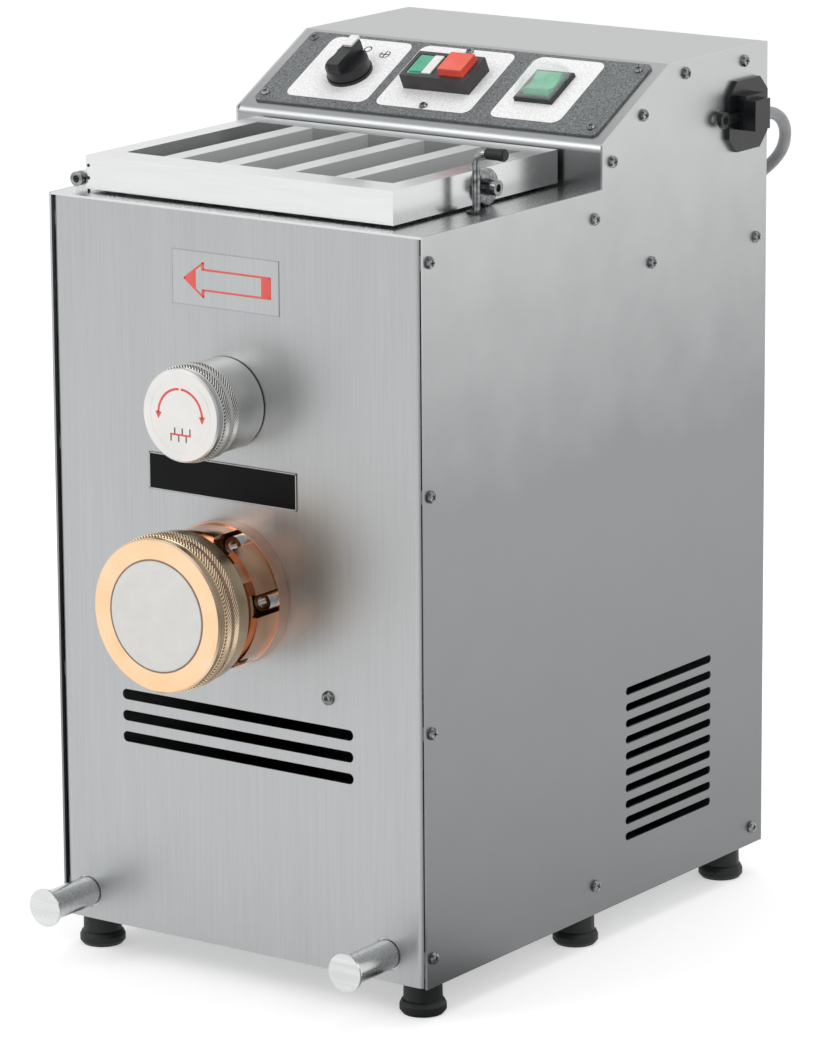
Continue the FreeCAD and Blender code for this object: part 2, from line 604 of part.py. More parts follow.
def loop_face(low_radius, high_radius, distance):
    """Flat face inside a belt line round two wheels, the upper one `distance` above the lower."""
    lean = math.asin((low_radius - high_radius) / distance)
    cos, sin = math.cos(lean), math.sin(lean)
    low = [Vector(s * low_radius * cos, 0, low_radius * sin) for s in (1, -1)]
    high = [Vector(s * high_radius * cos, 0, distance + high_radius * sin) for s in (1, -1)]
    edges = [
        Part.LineSegment(low[0], high[0]).toShape(),
        Part.Arc(high[0], Vector(0, 0, distance + high_radius), high[1]).toShape(),
        Part.LineSegment(high[1], low[1]).toShape(),
        Part.Arc(low[1], Vector(0, 0, -low_radius), low[0]).toShape()]
    return Part.Face(Part.Wire(edges))


def chain(low_z, low_radius, high_z, high_radius, start, thick):
    """Endless chain as one band, clear of its wheels."""
    distance = high_z - low_z
    band = [loop_face(low_radius + grow, high_radius + grow, distance).extrude(Vector(0, thick, 0))
            for grow in (chain_clear + chain_thick, chain_clear)]
    loop = band[0].cut(band[1])
    loop.translate(Vector(size("axis"), start, low_z))
    return shaped(loop)


press_z, mixer_z, drive_z = size("press"), size("mixer"), size("drive")
keep(group(sprocket(46, 12, press_z, 34, 6, 26), sprocket(30, 12, press_z, 22, 6, 17)), "screw_sprockets")
keep(sprocket(40, 9, mixer_z, 22, 6, 22), "mixer_sprocket")
keep(group(chain(drive_z, 22, press_z, 46, 33, 8), chain(press_z, 30, mixer_z, 40, 21, 8)), "drive_chains")

# Gear motor
keep(cut(block("axis-42", "46", "drive-42", "84", "42", "84"),
         rod("y", "axis", "40", "drive", "9.05", "34"), rod("y", "axis", "74", "drive", "30", "30")),
     "reduction_gearbox")
keep(group(rod("y", "axis", "28", "drive", "9", "44"), sprocket(22, 9, drive_z, 34, 6, 12)), "output_shaft")
motor_shell = [rod("y", "axis", "88", "drive", "52", "70")]
for number in range(16):
    fin = block("49", "92", "-1.2", "7", "62", "2.4")
    fin.Placement = Placement(Vector(), Rotation(Vector(0, 1, 0), 22.5 * number + 11.25))
    radians = math.radians(-(22.5 * number + 11.25))
    move(fin, f"axis+({49 * math.cos(radians):.4f})", "92", f"drive+({49 * math.sin(radians):.4f})")
    motor_shell.append(fin)
motor_frame = cut(join(*motor_shell), rod("y", "axis", "92", "drive", "46", "62"),
                  rod("y", "axis", "80", "drive", "8.3", "90"))
stator = cut(rod("y", "axis", "100", "drive", "46", "46"), rod("y", "axis", "99", "drive", "31", "48"))
keep(group(motor_frame, stator), "motor_housing")
keep(join(rod("y", "axis", "102", "drive", "30.4", "42"), rod("y", "axis", "78", "drive", "8", "94")), "rotor")
blades = []
for number in range(8):
    blade = block("9", "160", "-0.8", "36", "9", "1.6")
    blade.Placement = Placement(Vector(), Rotation(Vector(0, 1, 0), 45 * number))
    radians = math.radians(-45 * number)
    move(blade, f"axis+({9 * math.cos(radians):.4f})", "160", f"drive+({9 * math.sin(radians):.4f})")
    blades.append(blade)
keep(cut(join(rod("y", "axis", "160", "drive", "14", "9"), *blades),
         rod("y", "axis", "150", "drive", "8", "30")), "motor_fan")
keep(cut(rod("y", "axis", "158", "drive", "54", "22"), rod("y", "axis", "150", "drive", "52.5", "28"),
         *[slot("x", "axis-30", "176", f"drive+({lift})", "60", "5", "8") for lift in (-30, -18, -6, 6, 18, 30)]),
     "fan_cover")

# Electrical parts under the roof
shelf = block(f"-{inner}", "70", "455", f"2*{inner}", "124", "2")
terminals = join(block("-50", "110", "457", "70", "26", "14"), block("-47", "117", "471", "64", "12", "7"))
clip = cut(block("35", "95", "457", "50", "10", "24"), rod("y", "60", "90", "480", "20", "20"))
keep(group(join(shelf, clip), terminals), "electrics_shelf")
keep(join(block("-110", "95", "457", "45", "70", "50"), block("-106", "103", "507", "37", "54", "12")), "contactor")
keep(rod("y", "60", "85", "480", "20", "92"), "run_capacitor")

# Lid: box-section frame and four deep bars
lid_right = "(lid_left+lid_width)"
lid_back = "(lid_front+lid_depth)"
lid_top = "(lid_bottom+lid_high)"
field_wide = "(5*slot_wide+4*bar_wide)"
field_x = "(lid_left+lid_rim)"
field_y = "(lid_front+lid_front_rim)"
frame_void = cut(
    block("lid_left+sheet", "lid_front+sheet", "lid_bottom-1", "lid_width-2*sheet", "lid_depth-2*sheet",
          "lid_high+1-sheet"),
    block(f"{field_x}-sheet", f"{field_y}-sheet", "lid_bottom-2", f"{field_wide}+2*sheet",
          "slot_long+2*sheet", "lid_high+5"))
catch_hole = rod("x", f"{lid_right}-5", "catch_y", "catch_z", "3.1", "10")
lid_frame = cut(
    block("lid_left", "lid_front", "lid_bottom", "lid_width", "lid_depth", "lid_high"), frame_void, catch_hole,
    block(field_x, field_y, "lid_bottom-1", field_wide, "slot_long", "lid_high+5"))
bars = []
for number in range(4):
    bar_x = f"{field_x}+slot_wide+{number}*(slot_wide+bar_wide)"
    bars.append(cut(
        block(bar_x, field_y, f"{lid_top}-bar_deep", "bar_wide", "slot_long", "bar_deep"),
        block(f"{bar_x}+sheet", f"{field_y}+sheet", f"{lid_top}-bar_deep-1", "bar_wide-2*sheet",
              "slot_long-2*sheet", "bar_deep+1-sheet")))
keep(group(*bars), "lid_bars")
hinge_spots = [-177.5, -30.0]
knuckles, brackets, bolts = [], [], []
for spot in hinge_spots:
    knuckles.append(cut(
        join(rod("y", "hinge_x", f"{spot}", "hinge_z", "4.6", "14"),
             block("hinge_x", f"{spot}", "hinge_z-3", "lid_left-hinge_x", "14", "7")),
        rod("y", "hinge_x", f"{spot}-1", "hinge_z", "3.05", "16")))
    for start in (spot - 4.2, spot + 15.2):
        brackets.append(cut(
            join(block("hinge_x-4.6", f"{start}", "deck", "9.2", "3", "hinge_z-deck"),
                 rod("y", "hinge_x", f"{start}", "hinge_z", "4.6", "3")),
            rod("y", "hinge_x", f"{start}-1", "hinge_z", "3", "5")))
    bolts.append(cut(
        join(rod("y", "hinge_x", f"{spot}-9.7", "hinge_z", "4.8", "5.5"),
             rod("y", "hinge_x", f"{spot}-4.2", "hinge_z", "3", "24.4")),
        rod("y", "hinge_x", f"{spot}-10", "hinge_z", "2.4", "3.5")))
keep(join(lid_frame, *knuckles), "lid_frame")
keep(group(*brackets), "hinge_brackets")
keep(group(*bolts), "hinge_bolts")
catch_disc = turned("catch_disc", "x", [
    ("3.1", lid_right), ("11.7", lid_right), ("11.7", f"{lid_right}+3"), ("10.9", f"{lid_right}+4"),
    ("3.1", f"{lid_right}+4")], "0", "catch_y", "catch_z")
catch_screw = turned("catch_screw", "x", [
    ("0", f"{lid_right}-8"), ("3", f"{lid_right}-8"), ("3", f"{lid_right}+4"), ("5.4", f"{lid_right}+4"),
    ("5.4", f"{lid_right}+6"), ("4.4", f"{lid_right}+6"), ("4.4", f"{lid_right}+7"),
    ("5", f"{lid_right}+7"), ("5", f"{lid_right}+11.5"), ("2.5", f"{lid_right}+11.5"),
    ("2.5", f"{lid_right}+8.5"), ("0", f"{lid_right}+8.5")], "0", "catch_y", "catch_z")
keep(group(catch_disc, catch_screw), "lid_catch")

# Latch rod with its bent arm, rubber grip, bush, collar and interlock switch
rod_radius = size("latch_radius")
elbow = 7.0
rod_foot = 468.0
stem_top = size("arm_z") - elbow
arm_start = size("latch_x") + elbow
arm_end = size("latch_x") + 20.0
latch_y = size("latch_y")
middle = elbow * (1 - math.cos(math.radians(45)))
path = Part.Wire([
    Part.LineSegment(Vector(size("latch_x"), latch_y, rod_foot),
                     Vector(size("latch_x"), latch_y, stem_top)).toShape(),
    Part.Arc(Vector(size("latch_x"), latch_y, stem_top),
             Vector(size("latch_x") + middle, latch_y, size("arm_z") - middle),
             Vector(arm_start, latch_y, size("arm_z"))).toShape(),
    Part.LineSegment(Vector(arm_start, latch_y, size("arm_z")),
                     Vector(arm_end, latch_y, size("arm_z"))).toShape()])
ring = Part.Wire(Part.makeCircle(rod_radius, Vector(size("latch_x"), latch_y, rod_foot), Vector(0, 0, 1)))
latch = path.makePipeShell([ring], True, False)
keep(turned("latch_grip", "x", [
    ("2.5", "latch_x+8"), ("3.3", "latch_x+8"), ("3.7", "latch_x+9"), ("3.7", "latch_x+17.6"),
    ("4", "latch_x+18.2"), ("4", "latch_x+21.4"), ("3.2", "latch_x+22.4"), ("0", "latch_x+22.4"),
    ("0", "latch_x+20"), ("2.5", "latch_x+20")], "0", "latch_y", "arm_z"), "latch_grip")
keep(turned("latch_bush", "z", [
    ("2.56", "deck-14"), ("4.9", "deck-14"), ("4.9", "deck"), ("6.2", "deck"), ("6.2", "deck+1.2"),
    ("2.56", "deck+1.2")], "latch_x", "latch_y", "0"), "latch_bush")
collar = turned("latch_collar", "z", [
    ("2.5", "deck-26"), ("7", "deck-26"), ("7", "deck-20"), ("2.5", "deck-20")],
    "latch_x", "latch_y", "0")
keep(group(shaped(latch), collar), "latch_rod")
keep(join(block("latch_x-5", "latch_y+8.5", "deck-34", "10", "20", "20"),
          block("latch_x-1.5", "latch_y+14", "deck-14", "3", "6", "14-sheet")), "interlock_switch")

# Console overlay and controls, made flat and set on the slope
overlay_x, overlay_u, overlay_w, overlay_h = "-135.5", "7.5", "270.5", "77.5"
overlay_base = join(
    block(f"{overlay_x}+4", overlay_u, "0", f"{overlay_w}-8", overlay_h, "sheet"),
    block(overlay_x, f"{overlay_u}+4", "0", overlay_w, f"{overlay_h}-8", "sheet"),
    *[rod("z", f"{overlay_x}+{cx}", f"{overlay_u}+{cu}", "0", "4", "sheet")
      for cx in ("4", f"{overlay_w}-4") for cu in ("4", f"{overlay_h}-4")])
keep(tilt(cut(overlay_base, console_holes())), "control_overlay")
overlay_screw = turned("overlay_screw", "z", [
    ("0", "0"), ("2.9", "0"), ("2.9", "0.8"), ("2.2", "1.8"), ("0", "2.2")])
overlay_spots = [(-130.0, 15.5), (-130.0, 78.0), (128.0, 15.5), (128.0, 78.0), (-4.5, 18.8), (-4.5, 79.0)]
keep(copies(overlay_screw, [
    slope_place.multiply(at(x, u, size("sheet"))) for x, u in overlay_spots]), "overlay_screws")
keep(tilt(join(
    rod("z", selector_x, selector_u, "sheet", "15.6", "2.2"),
    rod("z", selector_x, selector_u, "-8", "8.9", "8+sheet"),
    block(f"{selector_x}-15", f"{selector_u}-15", "-46", "30", "30", "38"))), "selector_switch")
keep(tilt(join(
    rod("z", selector_x, selector_u, "sheet+2.4", "14.7", "7"),
    block(f"{selector_x}-4.6", f"{selector_u}-14.4", "sheet+9.4", "9.2", "29.2", "8"),
    block(f"{selector_x}-3.2", f"{selector_u}+6", "sheet+17.4", "6.4", "10.5", "1.2"))), "selector_knob")
keep(tilt(join(
    cut(block(f"{switch_x}-26", f"{switch_u}-13.5", "sheet", "52", "27", "11"),
        block(f"{switch_x}-23", f"{switch_u}-10.5", "0", "46", "21", "20")),
    block(f"{switch_x}-23", f"{switch_u}-10.5", "-28", "46", "21", "28.5+sheet"),
    block(f"{switch_x}-3", f"{switch_u}-10.5", "sheet", "6", "21", "10.4"))), "start_stop_frame")
keep(tilt(join(block(f"{switch_x}-22.5", f"{switch_u}-10", "sheet+4", "19", "20", "6.6"),
               block(f"{switch_x}-21", f"{switch_u}-8.5", "sheet+10.6", "16", "17", "0.8"))), "start_button")
keep(tilt(join(block(f"{switch_x}+3.5", f"{switch_u}-10", "sheet+4", "19", "20", "8"),
               block(f"{switch_x}+3.5", f"{switch_u}-9.4", "sheet+12", "18.4", "18.8", "4"))), "stop_button")
keep(tilt(cut(
    join(block(f"{rocker_x}-14.5", f"{rocker_u}-15.7", "sheet", "29", "31.4", "3"),
         block(f"{rocker_x}-11", f"{rocker_u}-12.5", "-24", "22", "25", "26")),
    rod("x", f"{rocker_x}-10", rocker_u, "sheet+0.5", "11.8", "20"))), "rocker_bezel")
keep(tilt(cut(
    rod("x", f"{rocker_x}-9.6", rocker_u, "sheet+0.5", "11.2", "19.2"),
    rod("x", f"{rocker_x}-12", rocker_u, "sheet+22.5", "18", "30"),
    block(f"{rocker_x}-12", f"{rocker_u}-12", "sheet-12.5", "24", "24", "8"))), "rocker_key")


def hood(shrink, drop):
    """Faceted hood: a prism across the rocker with both ends leaning in."""
    low = [Vector(sx * (13.2 - shrink), su * (14.4 - shrink), -drop)
           for sx, su in ((-1, -1), (1, -1), (1, 1), (-1, 1))]
    mid = [Vector(point.x, point.y, 4.5) for point in low]
    top = [Vector(sx * (9.6 - shrink), su * (9.6 - shrink), 12.6 - shrink)
           for sx, su in ((-1, -1), (1, -1), (1, 1), (-1, 1))]
    rings = [Part.makePolygon(ring + [ring[0]]) for ring in (low, mid, top)]
    return Part.makeLoft(rings, True, True)


hood_shell = hood(0.0, 0.0).cut(hood(1.0, 1.0))
hood_place = slope_place.multiply(at(size(rocker_x), size(rocker_u), size("sheet") + 3.0))
keep(shaped(hood_shell.transformed(hood_place.toMatrix(), True)), "rocker_hood")

# Label film, blank nameplate, small front screw and pegs
keep(block("axis-41.6", f"{front}-0.3", "439", "83.3", "0.3", "35"), "label_film")
keep(block("axis-62.5", f"{front}-0.6", "317", "116", "0.6", "24"), "blank_nameplate")
peg = turned("peg", "y", [
    ("0", f"{front}-peg_length"), ("peg_head-0.4", f"{front}-peg_length"),
    ("peg_head", f"{front}-peg_length+0.5"), ("peg_head", f"{front}-peg_length+1.8"),
    ("peg_radius", f"{front}-peg_length+2.4"), ("peg_radius", f"{front}+sheet"),
    ("peg_radius+3", f"{front}+sheet"), ("peg_radius+3", f"{front}+sheet+4"),
    ("peg_radius-3", f"{front}+sheet+4"), ("peg_radius-3", f"{front}+sheet+10"), ("0", f"{front}+sheet+10")])
peg_z = size("peg_height")
keep(copies(peg, [at(size(f"axis-peg_reach"), 0, peg_z), at(size("axis+peg_reach"), 0, peg_z)]), "front_pegs")

# Cord gland on the right panel
plate_low = [(-23.5, -14), (-14, -23.5), (14, -23.5), (23.5, -14), (23.5, 14), (14, 23.5), (-14, 23.5), (-23.5, 14)]
gland_points = [Vector(half, size("gland_y") + y, size("gland_z") + z) for y, z in plate_low]
gland_plate = Part.Face(Part.makePolygon(gland_points + gland_points[:1])).extrude(Vector(3.5, 0, 0))
cord_x = half + 10.0
exit_y = size("gland_y") + 4.0
exit_z = size("gland_z") + 1.5
clamp = Part.makeBox(14, 18, 20, Vector(half + 3.5, exit_y - 18, exit_z - 10))
clamp = clamp.fuse(Part.makeBox(8, 22, 3, Vector(half + 3.5, exit_y - 20, exit_z + 10)))
clamp = clamp.cut(Part.makeCylinder(size("cord_radius"), 60, Vector(cord_x, exit_y - 15, exit_z), Vector(0, 1, 0)))
eye = Part.makeCylinder(5.5, 3, Vector(half + 3.5, exit_y - 37, exit_z - 1), Vector(1, 0, 0))
strap = eye.fuse(Part.makeBox(3, 18, 6, Vector(half + 3.5, exit_y - 35, exit_z - 4)))
strap = strap.cut(Part.makeCylinder(3, 9, Vector(half, exit_y - 37, exit_z - 1), Vector(1, 0, 0)))
clamp = clamp.fuse(strap)
keep(shaped(gland_plate.fuse(clamp)), "cord_gland")

# Mains lead: out of the clamp, round the back edge and down behind the casing to its coil
cord_radius = size("cord_radius")
coil_x, coil_y, coil_radius = -21.0, 300.0, 49.0
route = [Vector(x, y, z) for x, y, z in (
    (cord_x, exit_y - 13, exit_z), (cord_x, exit_y + 15, exit_z), (151, 213, 512), (138.5, 228, 490),
    (114, 233, 471), (89, 236, 444), (68, 239, 398), (50, 240, 328), (40, 238, 238), (36, 237, 150),
    (36, 243, 88), (36, 256, 44), (36, 277, 15.5), (coil_x + coil_radius + 2 * cord_radius, coil_y, cord_radius + 0.2))]


def rounded_path(points):
    """Straight runs joined by tangent arcs; returns the wire, its length and the radii."""
    edges, radii = [], []
    start = points[0]
    for before, corner, after in zip(points, points[1:], points[2:]):
        arrive = (corner - before).normalize()
        leave = (after - corner).normalize()
        turn = arrive.getAngle(leave)
        back_off = 0.45 * min((corner - before).Length, (after - corner).Length)
        radius = back_off / math.tan(turn / 2)
        first = corner - arrive * back_off
        last = corner + leave * back_off
        inward = (leave - arrive).normalize()
        middle = corner + inward * (radius / math.cos(turn / 2) - radius)
        edges.append(Part.LineSegment(start, first).toShape())
        edges.append(Part.Arc(first, middle, last).toShape())
        radii.append(radius)
        start = last
    edges.append(Part.LineSegment(start, points[-1]).toShape())
    return Part.Wire(edges), sum(edge.Length for edge in edges), radii


wire, tube_length, radii = rounded_path(route)
direction = (route[1] - route[0]).normalize()
circle = Part.Wire(Part.makeCircle(cord_radius, route[0], direction))
tube = wire.makePipeShell([circle], True, False)
keep(shaped(tube), "cord_tube")
print("cord radii", [round(value) for value in radii])
print("cord tube length", round(tube_length), "volume ratio",
      round(tube.Volume / (math.pi * cord_radius ** 2 * tube_length), 4))
coil_half = 3 * cord_radius
coil = Part.makeCylinder(coil_radius + coil_half, 4 * cord_radius, Vector(coil_x, coil_y, 0.1)).cut(
    Part.makeCylinder(coil_radius - coil_half, 4 * cord_radius, Vector(coil_x, coil_y, 0.1)))
coil = coil.cut(tube)
plug_x, plug_y, plug_z = coil_x - 69.0, coil_y - 59.0, 15.1
tail = [Vector(coil_x - 42, coil_y + 28, 12.4), Vector(plug_x, coil_y - 6, plug_z),
        Vector(plug_x, plug_y + 39, plug_z)]
tail_wire, tail_length, tail_radii = rounded_path(tail)
tail_circle = Part.Wire(Part.makeCircle(cord_radius, tail[0], (tail[1] - tail[0]).normalize()))
coil = coil.fuse(tail_wire.makePipeShell([tail_circle], True, False))
keep(shaped(coil), "cord_coil")
plug = Part.makeCylinder(19, 34, Vector(plug_x, plug_y - 17, plug_z), Vector(0, 1, 0)).common(
    Part.makeBox(38, 34, 30, Vector(plug_x - 19, plug_y - 17, plug_z - 15)))
plug = plug.fuse(Part.makeCone(9, 5.2, 22, Vector(plug_x, plug_y + 17, plug_z), Vector(0, 1, 0)))
pins = [Part.makeCylinder(2.4, 19, Vector(plug_x + offset, plug_y - 36, plug_z), Vector(0, 1, 0))
        for offset in (-9.5, 9.5)]
keep(shaped(Part.makeCompound([plug] + pins)), "mains_plug")

# Every object is sound before anything is written.
doc.recompute()
faults = [item.Label for item in doc.Objects if {"Invalid", "Error"} & set(item.State)]
for item in nodes:
    if item.Shape.isNull() or not item.Shape.isValid() or not item.Shape.Solids:
        faults.append("shape of " + item.Label)
if faults:
    raise RuntimeError("not sound: " + ", ".join(faults))
os.makedirs("parts", exist_ok=True)
for item in nodes:
    item.Shape.exportStep(os.path.join("parts", item.Label + ".step"))
print(len(nodes), "sub-parts written")
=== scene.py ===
import math

import bpy
import numpy as np
from mathutils import Matrix, Vector


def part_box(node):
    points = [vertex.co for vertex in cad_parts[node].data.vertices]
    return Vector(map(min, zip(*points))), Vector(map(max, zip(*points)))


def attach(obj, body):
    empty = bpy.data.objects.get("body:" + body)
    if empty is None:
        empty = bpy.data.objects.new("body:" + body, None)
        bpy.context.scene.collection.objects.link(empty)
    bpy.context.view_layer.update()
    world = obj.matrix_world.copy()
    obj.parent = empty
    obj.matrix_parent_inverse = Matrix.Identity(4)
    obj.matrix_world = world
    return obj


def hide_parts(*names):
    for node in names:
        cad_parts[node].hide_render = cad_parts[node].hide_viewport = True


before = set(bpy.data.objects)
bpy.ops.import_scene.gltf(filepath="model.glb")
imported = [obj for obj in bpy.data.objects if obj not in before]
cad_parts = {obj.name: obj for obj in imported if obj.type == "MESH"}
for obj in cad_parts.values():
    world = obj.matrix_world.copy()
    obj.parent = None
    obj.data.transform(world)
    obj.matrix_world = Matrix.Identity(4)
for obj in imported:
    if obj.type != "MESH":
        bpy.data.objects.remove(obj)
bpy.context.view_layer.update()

# The casing's centre in the shared frame, in metres; every length below is in millimetres from it
CASING = np.array([-0.0075, 0.037, 0.0])
MM = 0.001
FULL_TURN = 2 * math.pi

# Outer faces of the front panel, of the side panels and of the lid's front wall
FRONT, SIDE, LID_FRONT = -197.5, 145.0, -184.0

# The press and the mixer turn about lines along Y, at one x and at two heights
SHAFT_X = -5.5
PRESS, MIXER = 258.0, 380.0

# The mixer's knob and the press's ring nut: front face, radius under the knurling and teeth round
KNOB_FACE, KNOB_RADIUS, KNOB_TEETH = FRONT - 48.0, 30.05, 84
RING_FACE, RING_RADIUS, RING_TEETH = FRONT - 75.5, 49.45, 130
KNURL_DEPTH = 0.9
FLANGE_FACE = FRONT - 10.5

# The console rises 42 in 79 from the height of its lower edge, and its sheet is 1.5 thick
CONSOLE_LOW, CONSOLE_SHEET = 528.0, 1.5
SLOPE = math.atan2(42.0, 79.0)
SLOPE_UP = np.array([0.0, math.cos(SLOPE), math.sin(SLOPE)])
SLOPE_OUT = np.array([0.0, -math.sin(SLOPE), math.cos(SLOPE)])


def spot(points):
    """Millimetres from the casing's centre on the floor, as metres in the shared frame."""
    return np.asarray(points, float) * MM + CASING


def on_slope(across, up, out):
    """Point on the console: x, distance up the slope and height over the sheet's underside."""
    across, up, out = np.broadcast_arrays(across, up, out)
    foot = np.stack([across, np.zeros(across.shape), np.full(across.shape, CONSOLE_LOW)], -1)
    return spot(foot + up[..., None] * SLOPE_UP + out[..., None] * SLOPE_OUT)


# Materials


def linear(code):
    """sRGB hex to linear colour."""
    value = np.array([int(code[i:i + 2], 16) for i in (1, 3, 5)]) / 255
    value = np.where(value <= 0.04045, value / 12.92, ((value + 0.055) / 1.055) ** 2.4)
    return (*value.tolist(), 1.0)


def add(tree, kind, inputs=None, **settings):
    """A node with its settings; an input given a socket is linked, any other is set."""
    piece = tree.nodes.new(kind)
    for key, value in settings.items():
        setattr(piece, key, value)
    for key, value in (inputs or {}).items():
        if isinstance(value, bpy.types.NodeSocket):
            tree.links.new(value, piece.inputs[key])
        else:
            piece.inputs[key].default_value = value
    return piece


def start(name, **sockets):
    """A material with a Principled shader; the keywords set its own sockets."""
    material = bpy.data.materials.new(name)
    material.use_nodes = True
    tree = material.node_tree
    shader = tree.nodes["Principled BSDF"]
    for key, value in sockets.items():
        shader.inputs[key.replace("_", " ")].default_value = value
    place = add(tree, "ShaderNodeTexCoord").outputs["Object"]
    return material, tree, shader, place


def tones(tree, pattern, stops):
    """A 0 to 1 pattern as colours, from (position, hex) stops."""
    colours = add(tree, "ShaderNodeValToRGB", {"Fac": pattern})
    ends = colours.color_ramp.elements
    while len(ends) < len(stops):
        ends.new(0.5)
    for end, (where, code) in zip(ends, stops):
        end.position = where
        end.color = linear(code)
    return colours.outputs["Color"]


def dress(tree, shader, colour, rough=None, relief=None):
    """Patterns on a surface: colour is (pattern, stops), rough is (pattern, lowest, highest) and
    relief is (pattern, depth in mm, strength)."""
    tree.links.new(tones(tree, *colour), shader.inputs["Base Color"])
    if rough:
        pattern, lowest, highest = rough
        level = add(tree, "ShaderNodeMapRange", {"Value": pattern, "To Min": lowest, "To Max": highest})
        tree.links.new(level.outputs["Result"], shader.inputs["Roughness"])
    if relief:
        pattern, depth, strength = relief
        raised = add(tree, "ShaderNodeBump", {
            "Height": pattern, "Distance": depth * MM, "Strength": strength})
        tree.links.new(raised.outputs["Normal"], shader.inputs["Normal"])


def streaks(tree, place, across_mm, along_mm, along, detail=3.0):
    """Noise drawn out along one axis, as a belt leaves it: a streak's width and length in mm."""
    wide, long = 1000 / across_mm, 1000 / along_mm
    scale = tuple(long if axis == along else wide for axis in "xyz")
    mapped = add(tree, "ShaderNodeMapping", {"Vector": place, "Scale": scale}).outputs["Vector"]
    return add(tree, "ShaderNodeTexNoise",
               {"Vector": mapped, "Scale": 1.0, "Detail": detail, "Roughness": 0.6}).outputs["Fac"]


def specks(tree, place, size_mm, detail=2.0):
    """Even noise with patches of the given size."""
    return add(tree, "ShaderNodeTexNoise",
               {"Vector": place, "Scale": 1000 / size_mm, "Detail": detail, "Roughness": 0.55}).outputs["Fac"]


def brushed_stainless(name, dark, light, along, rough, across_mm=0.9, along_mm=70.0):
    """Stainless sheet ground with a belt: fine parallel lines, brighter and duller by turns.
    The real grain is about 0.1 mm, drawn at about 1 mm so that it shows. The tone is half the sum
    of the fine lines and of broad ones at a quarter of their contrast."""
    material, tree, shader, place = start(name, Metallic=1.0, Roughness=rough)
    fine = streaks(tree, place, across_mm, along_mm, along)
    broad = streaks(tree, place, across_mm * 30, along_mm * 4, along, 1.0)
    tone = add(tree, "ShaderNodeMath", {0: broad, 1: 0.25, 2: 0.375}, operation="MULTIPLY_ADD").outputs[0]
    tone = add(tree, "ShaderNodeMath", {0: fine, 1: tone}, operation="ADD").outputs[0]
    tone = add(tree, "ShaderNodeMath", {0: tone, 1: 0.5}, operation="MULTIPLY").outputs[0]
    dress(tree, shader, (tone, [(0.28, dark), (0.72, light)]),
          rough=(fine, rough - 0.06, rough + 0.08), relief=(fine, 0.01, 0.2))
    return material


def satin_stainless_painted_reflection(name, low, high, rough, low_mm=22.0, high_mm=570.0, metallic=1.0, middle=None):
    """Rolled satin sheet: even, with a soft mottle, and a painted reflection: a tone that goes from low to
    high with the height between two levels, painted in for the floor mirrored below and the room above."""
    material, tree, shader, place = start(name, Metallic=metallic, Roughness=rough)
    # Painted reflection: the colour is darker low down and paler high up, by height alone
    height = add(tree, "ShaderNodeSeparateXYZ", {"Vector": place}).outputs["Z"]
    up = add(tree, "ShaderNodeMapRange", {
        "Value": height, "From Min": low_mm * MM, "From Max": high_mm * MM}).outputs["Result"]
    mottle = specks(tree, place, 38.0)
    fine = specks(tree, place, 1.2)
    tone = add(tree, "ShaderNodeMath", {0: mottle, 1: 0.10, 2: up}, operation="MULTIPLY_ADD").outputs[0]
    stops = [(0.05, low), (0.6, middle), (1.0, high)] if middle else [(0.05, low), (1.0, high)]
    dress(tree, shader, (tone, stops),
          rough=(fine, rough - 0.04, rough + 0.05), relief=(fine, 0.004, 0.2))
    return material


def polished_stainless(name, dark, light, rough):
    """Buffed metal: mirror bright, with faint wiping marks in its tone and its roughness."""
    material, tree, shader, place = start(name, Metallic=1.0, Roughness=rough)
    wipes = streaks(tree, place, across_mm=3.0, along_mm=60.0, along="x", detail=2.0)
    dress(tree, shader, (wipes, [(0.3, dark), (0.7, light)]), rough=(wipes, rough * 0.85, rough * 1.25))
    return material


def from_axis(tree, place, centre_z):
    """Coordinates measured from a shaft's line at the given height, in metres."""
    shift = tuple(-value for value in spot([SHAFT_X, 0, centre_z]))
    about = add(tree, "ShaderNodeVectorMath", {0: place, 1: shift}, operation="ADD").outputs[0]
    return add(tree, "ShaderNodeSeparateXYZ", {"Vector": about}).outputs


def turned_metal(name, dark, light, rough, centre_z, pitch_mm=0.8):
    """Metal faced on a lathe: rings about the shaft, the sine of the distance from it, over a film
    of duller patches. The real feed is about 0.2 mm, drawn at 0.8 mm so that it shows."""
    material, tree, shader, place = start(name, Metallic=1.0, Roughness=rough)
    parts = from_axis(tree, place, centre_z)
    flat = add(tree, "ShaderNodeCombineXYZ", {"X": parts["X"], "Z": parts["Z"]}).outputs[0]
    reach = add(tree, "ShaderNodeVectorMath", {0: flat}, operation="LENGTH").outputs["Value"]
    pace = FULL_TURN * 1000 / pitch_mm
    rings = add(tree, "ShaderNodeMath", {0: reach, 1: pace}, operation="MULTIPLY").outputs[0]
    rings = add(tree, "ShaderNodeMath", {0: rings}, operation="SINE").outputs[0]
    mottle = specks(tree, place, 22.0, 1.0)
    tone = add(tree, "ShaderNodeMath", {0: rings, 1: 0.06, 2: mottle}, operation="MULTIPLY_ADD").outputs[0]
    dress(tree, shader, (tone, [(0.3, dark), (0.7, light)]),
          rough=(mottle, rough - 0.05, rough + 0.07), relief=(rings, 0.01, 0.15))
    return material


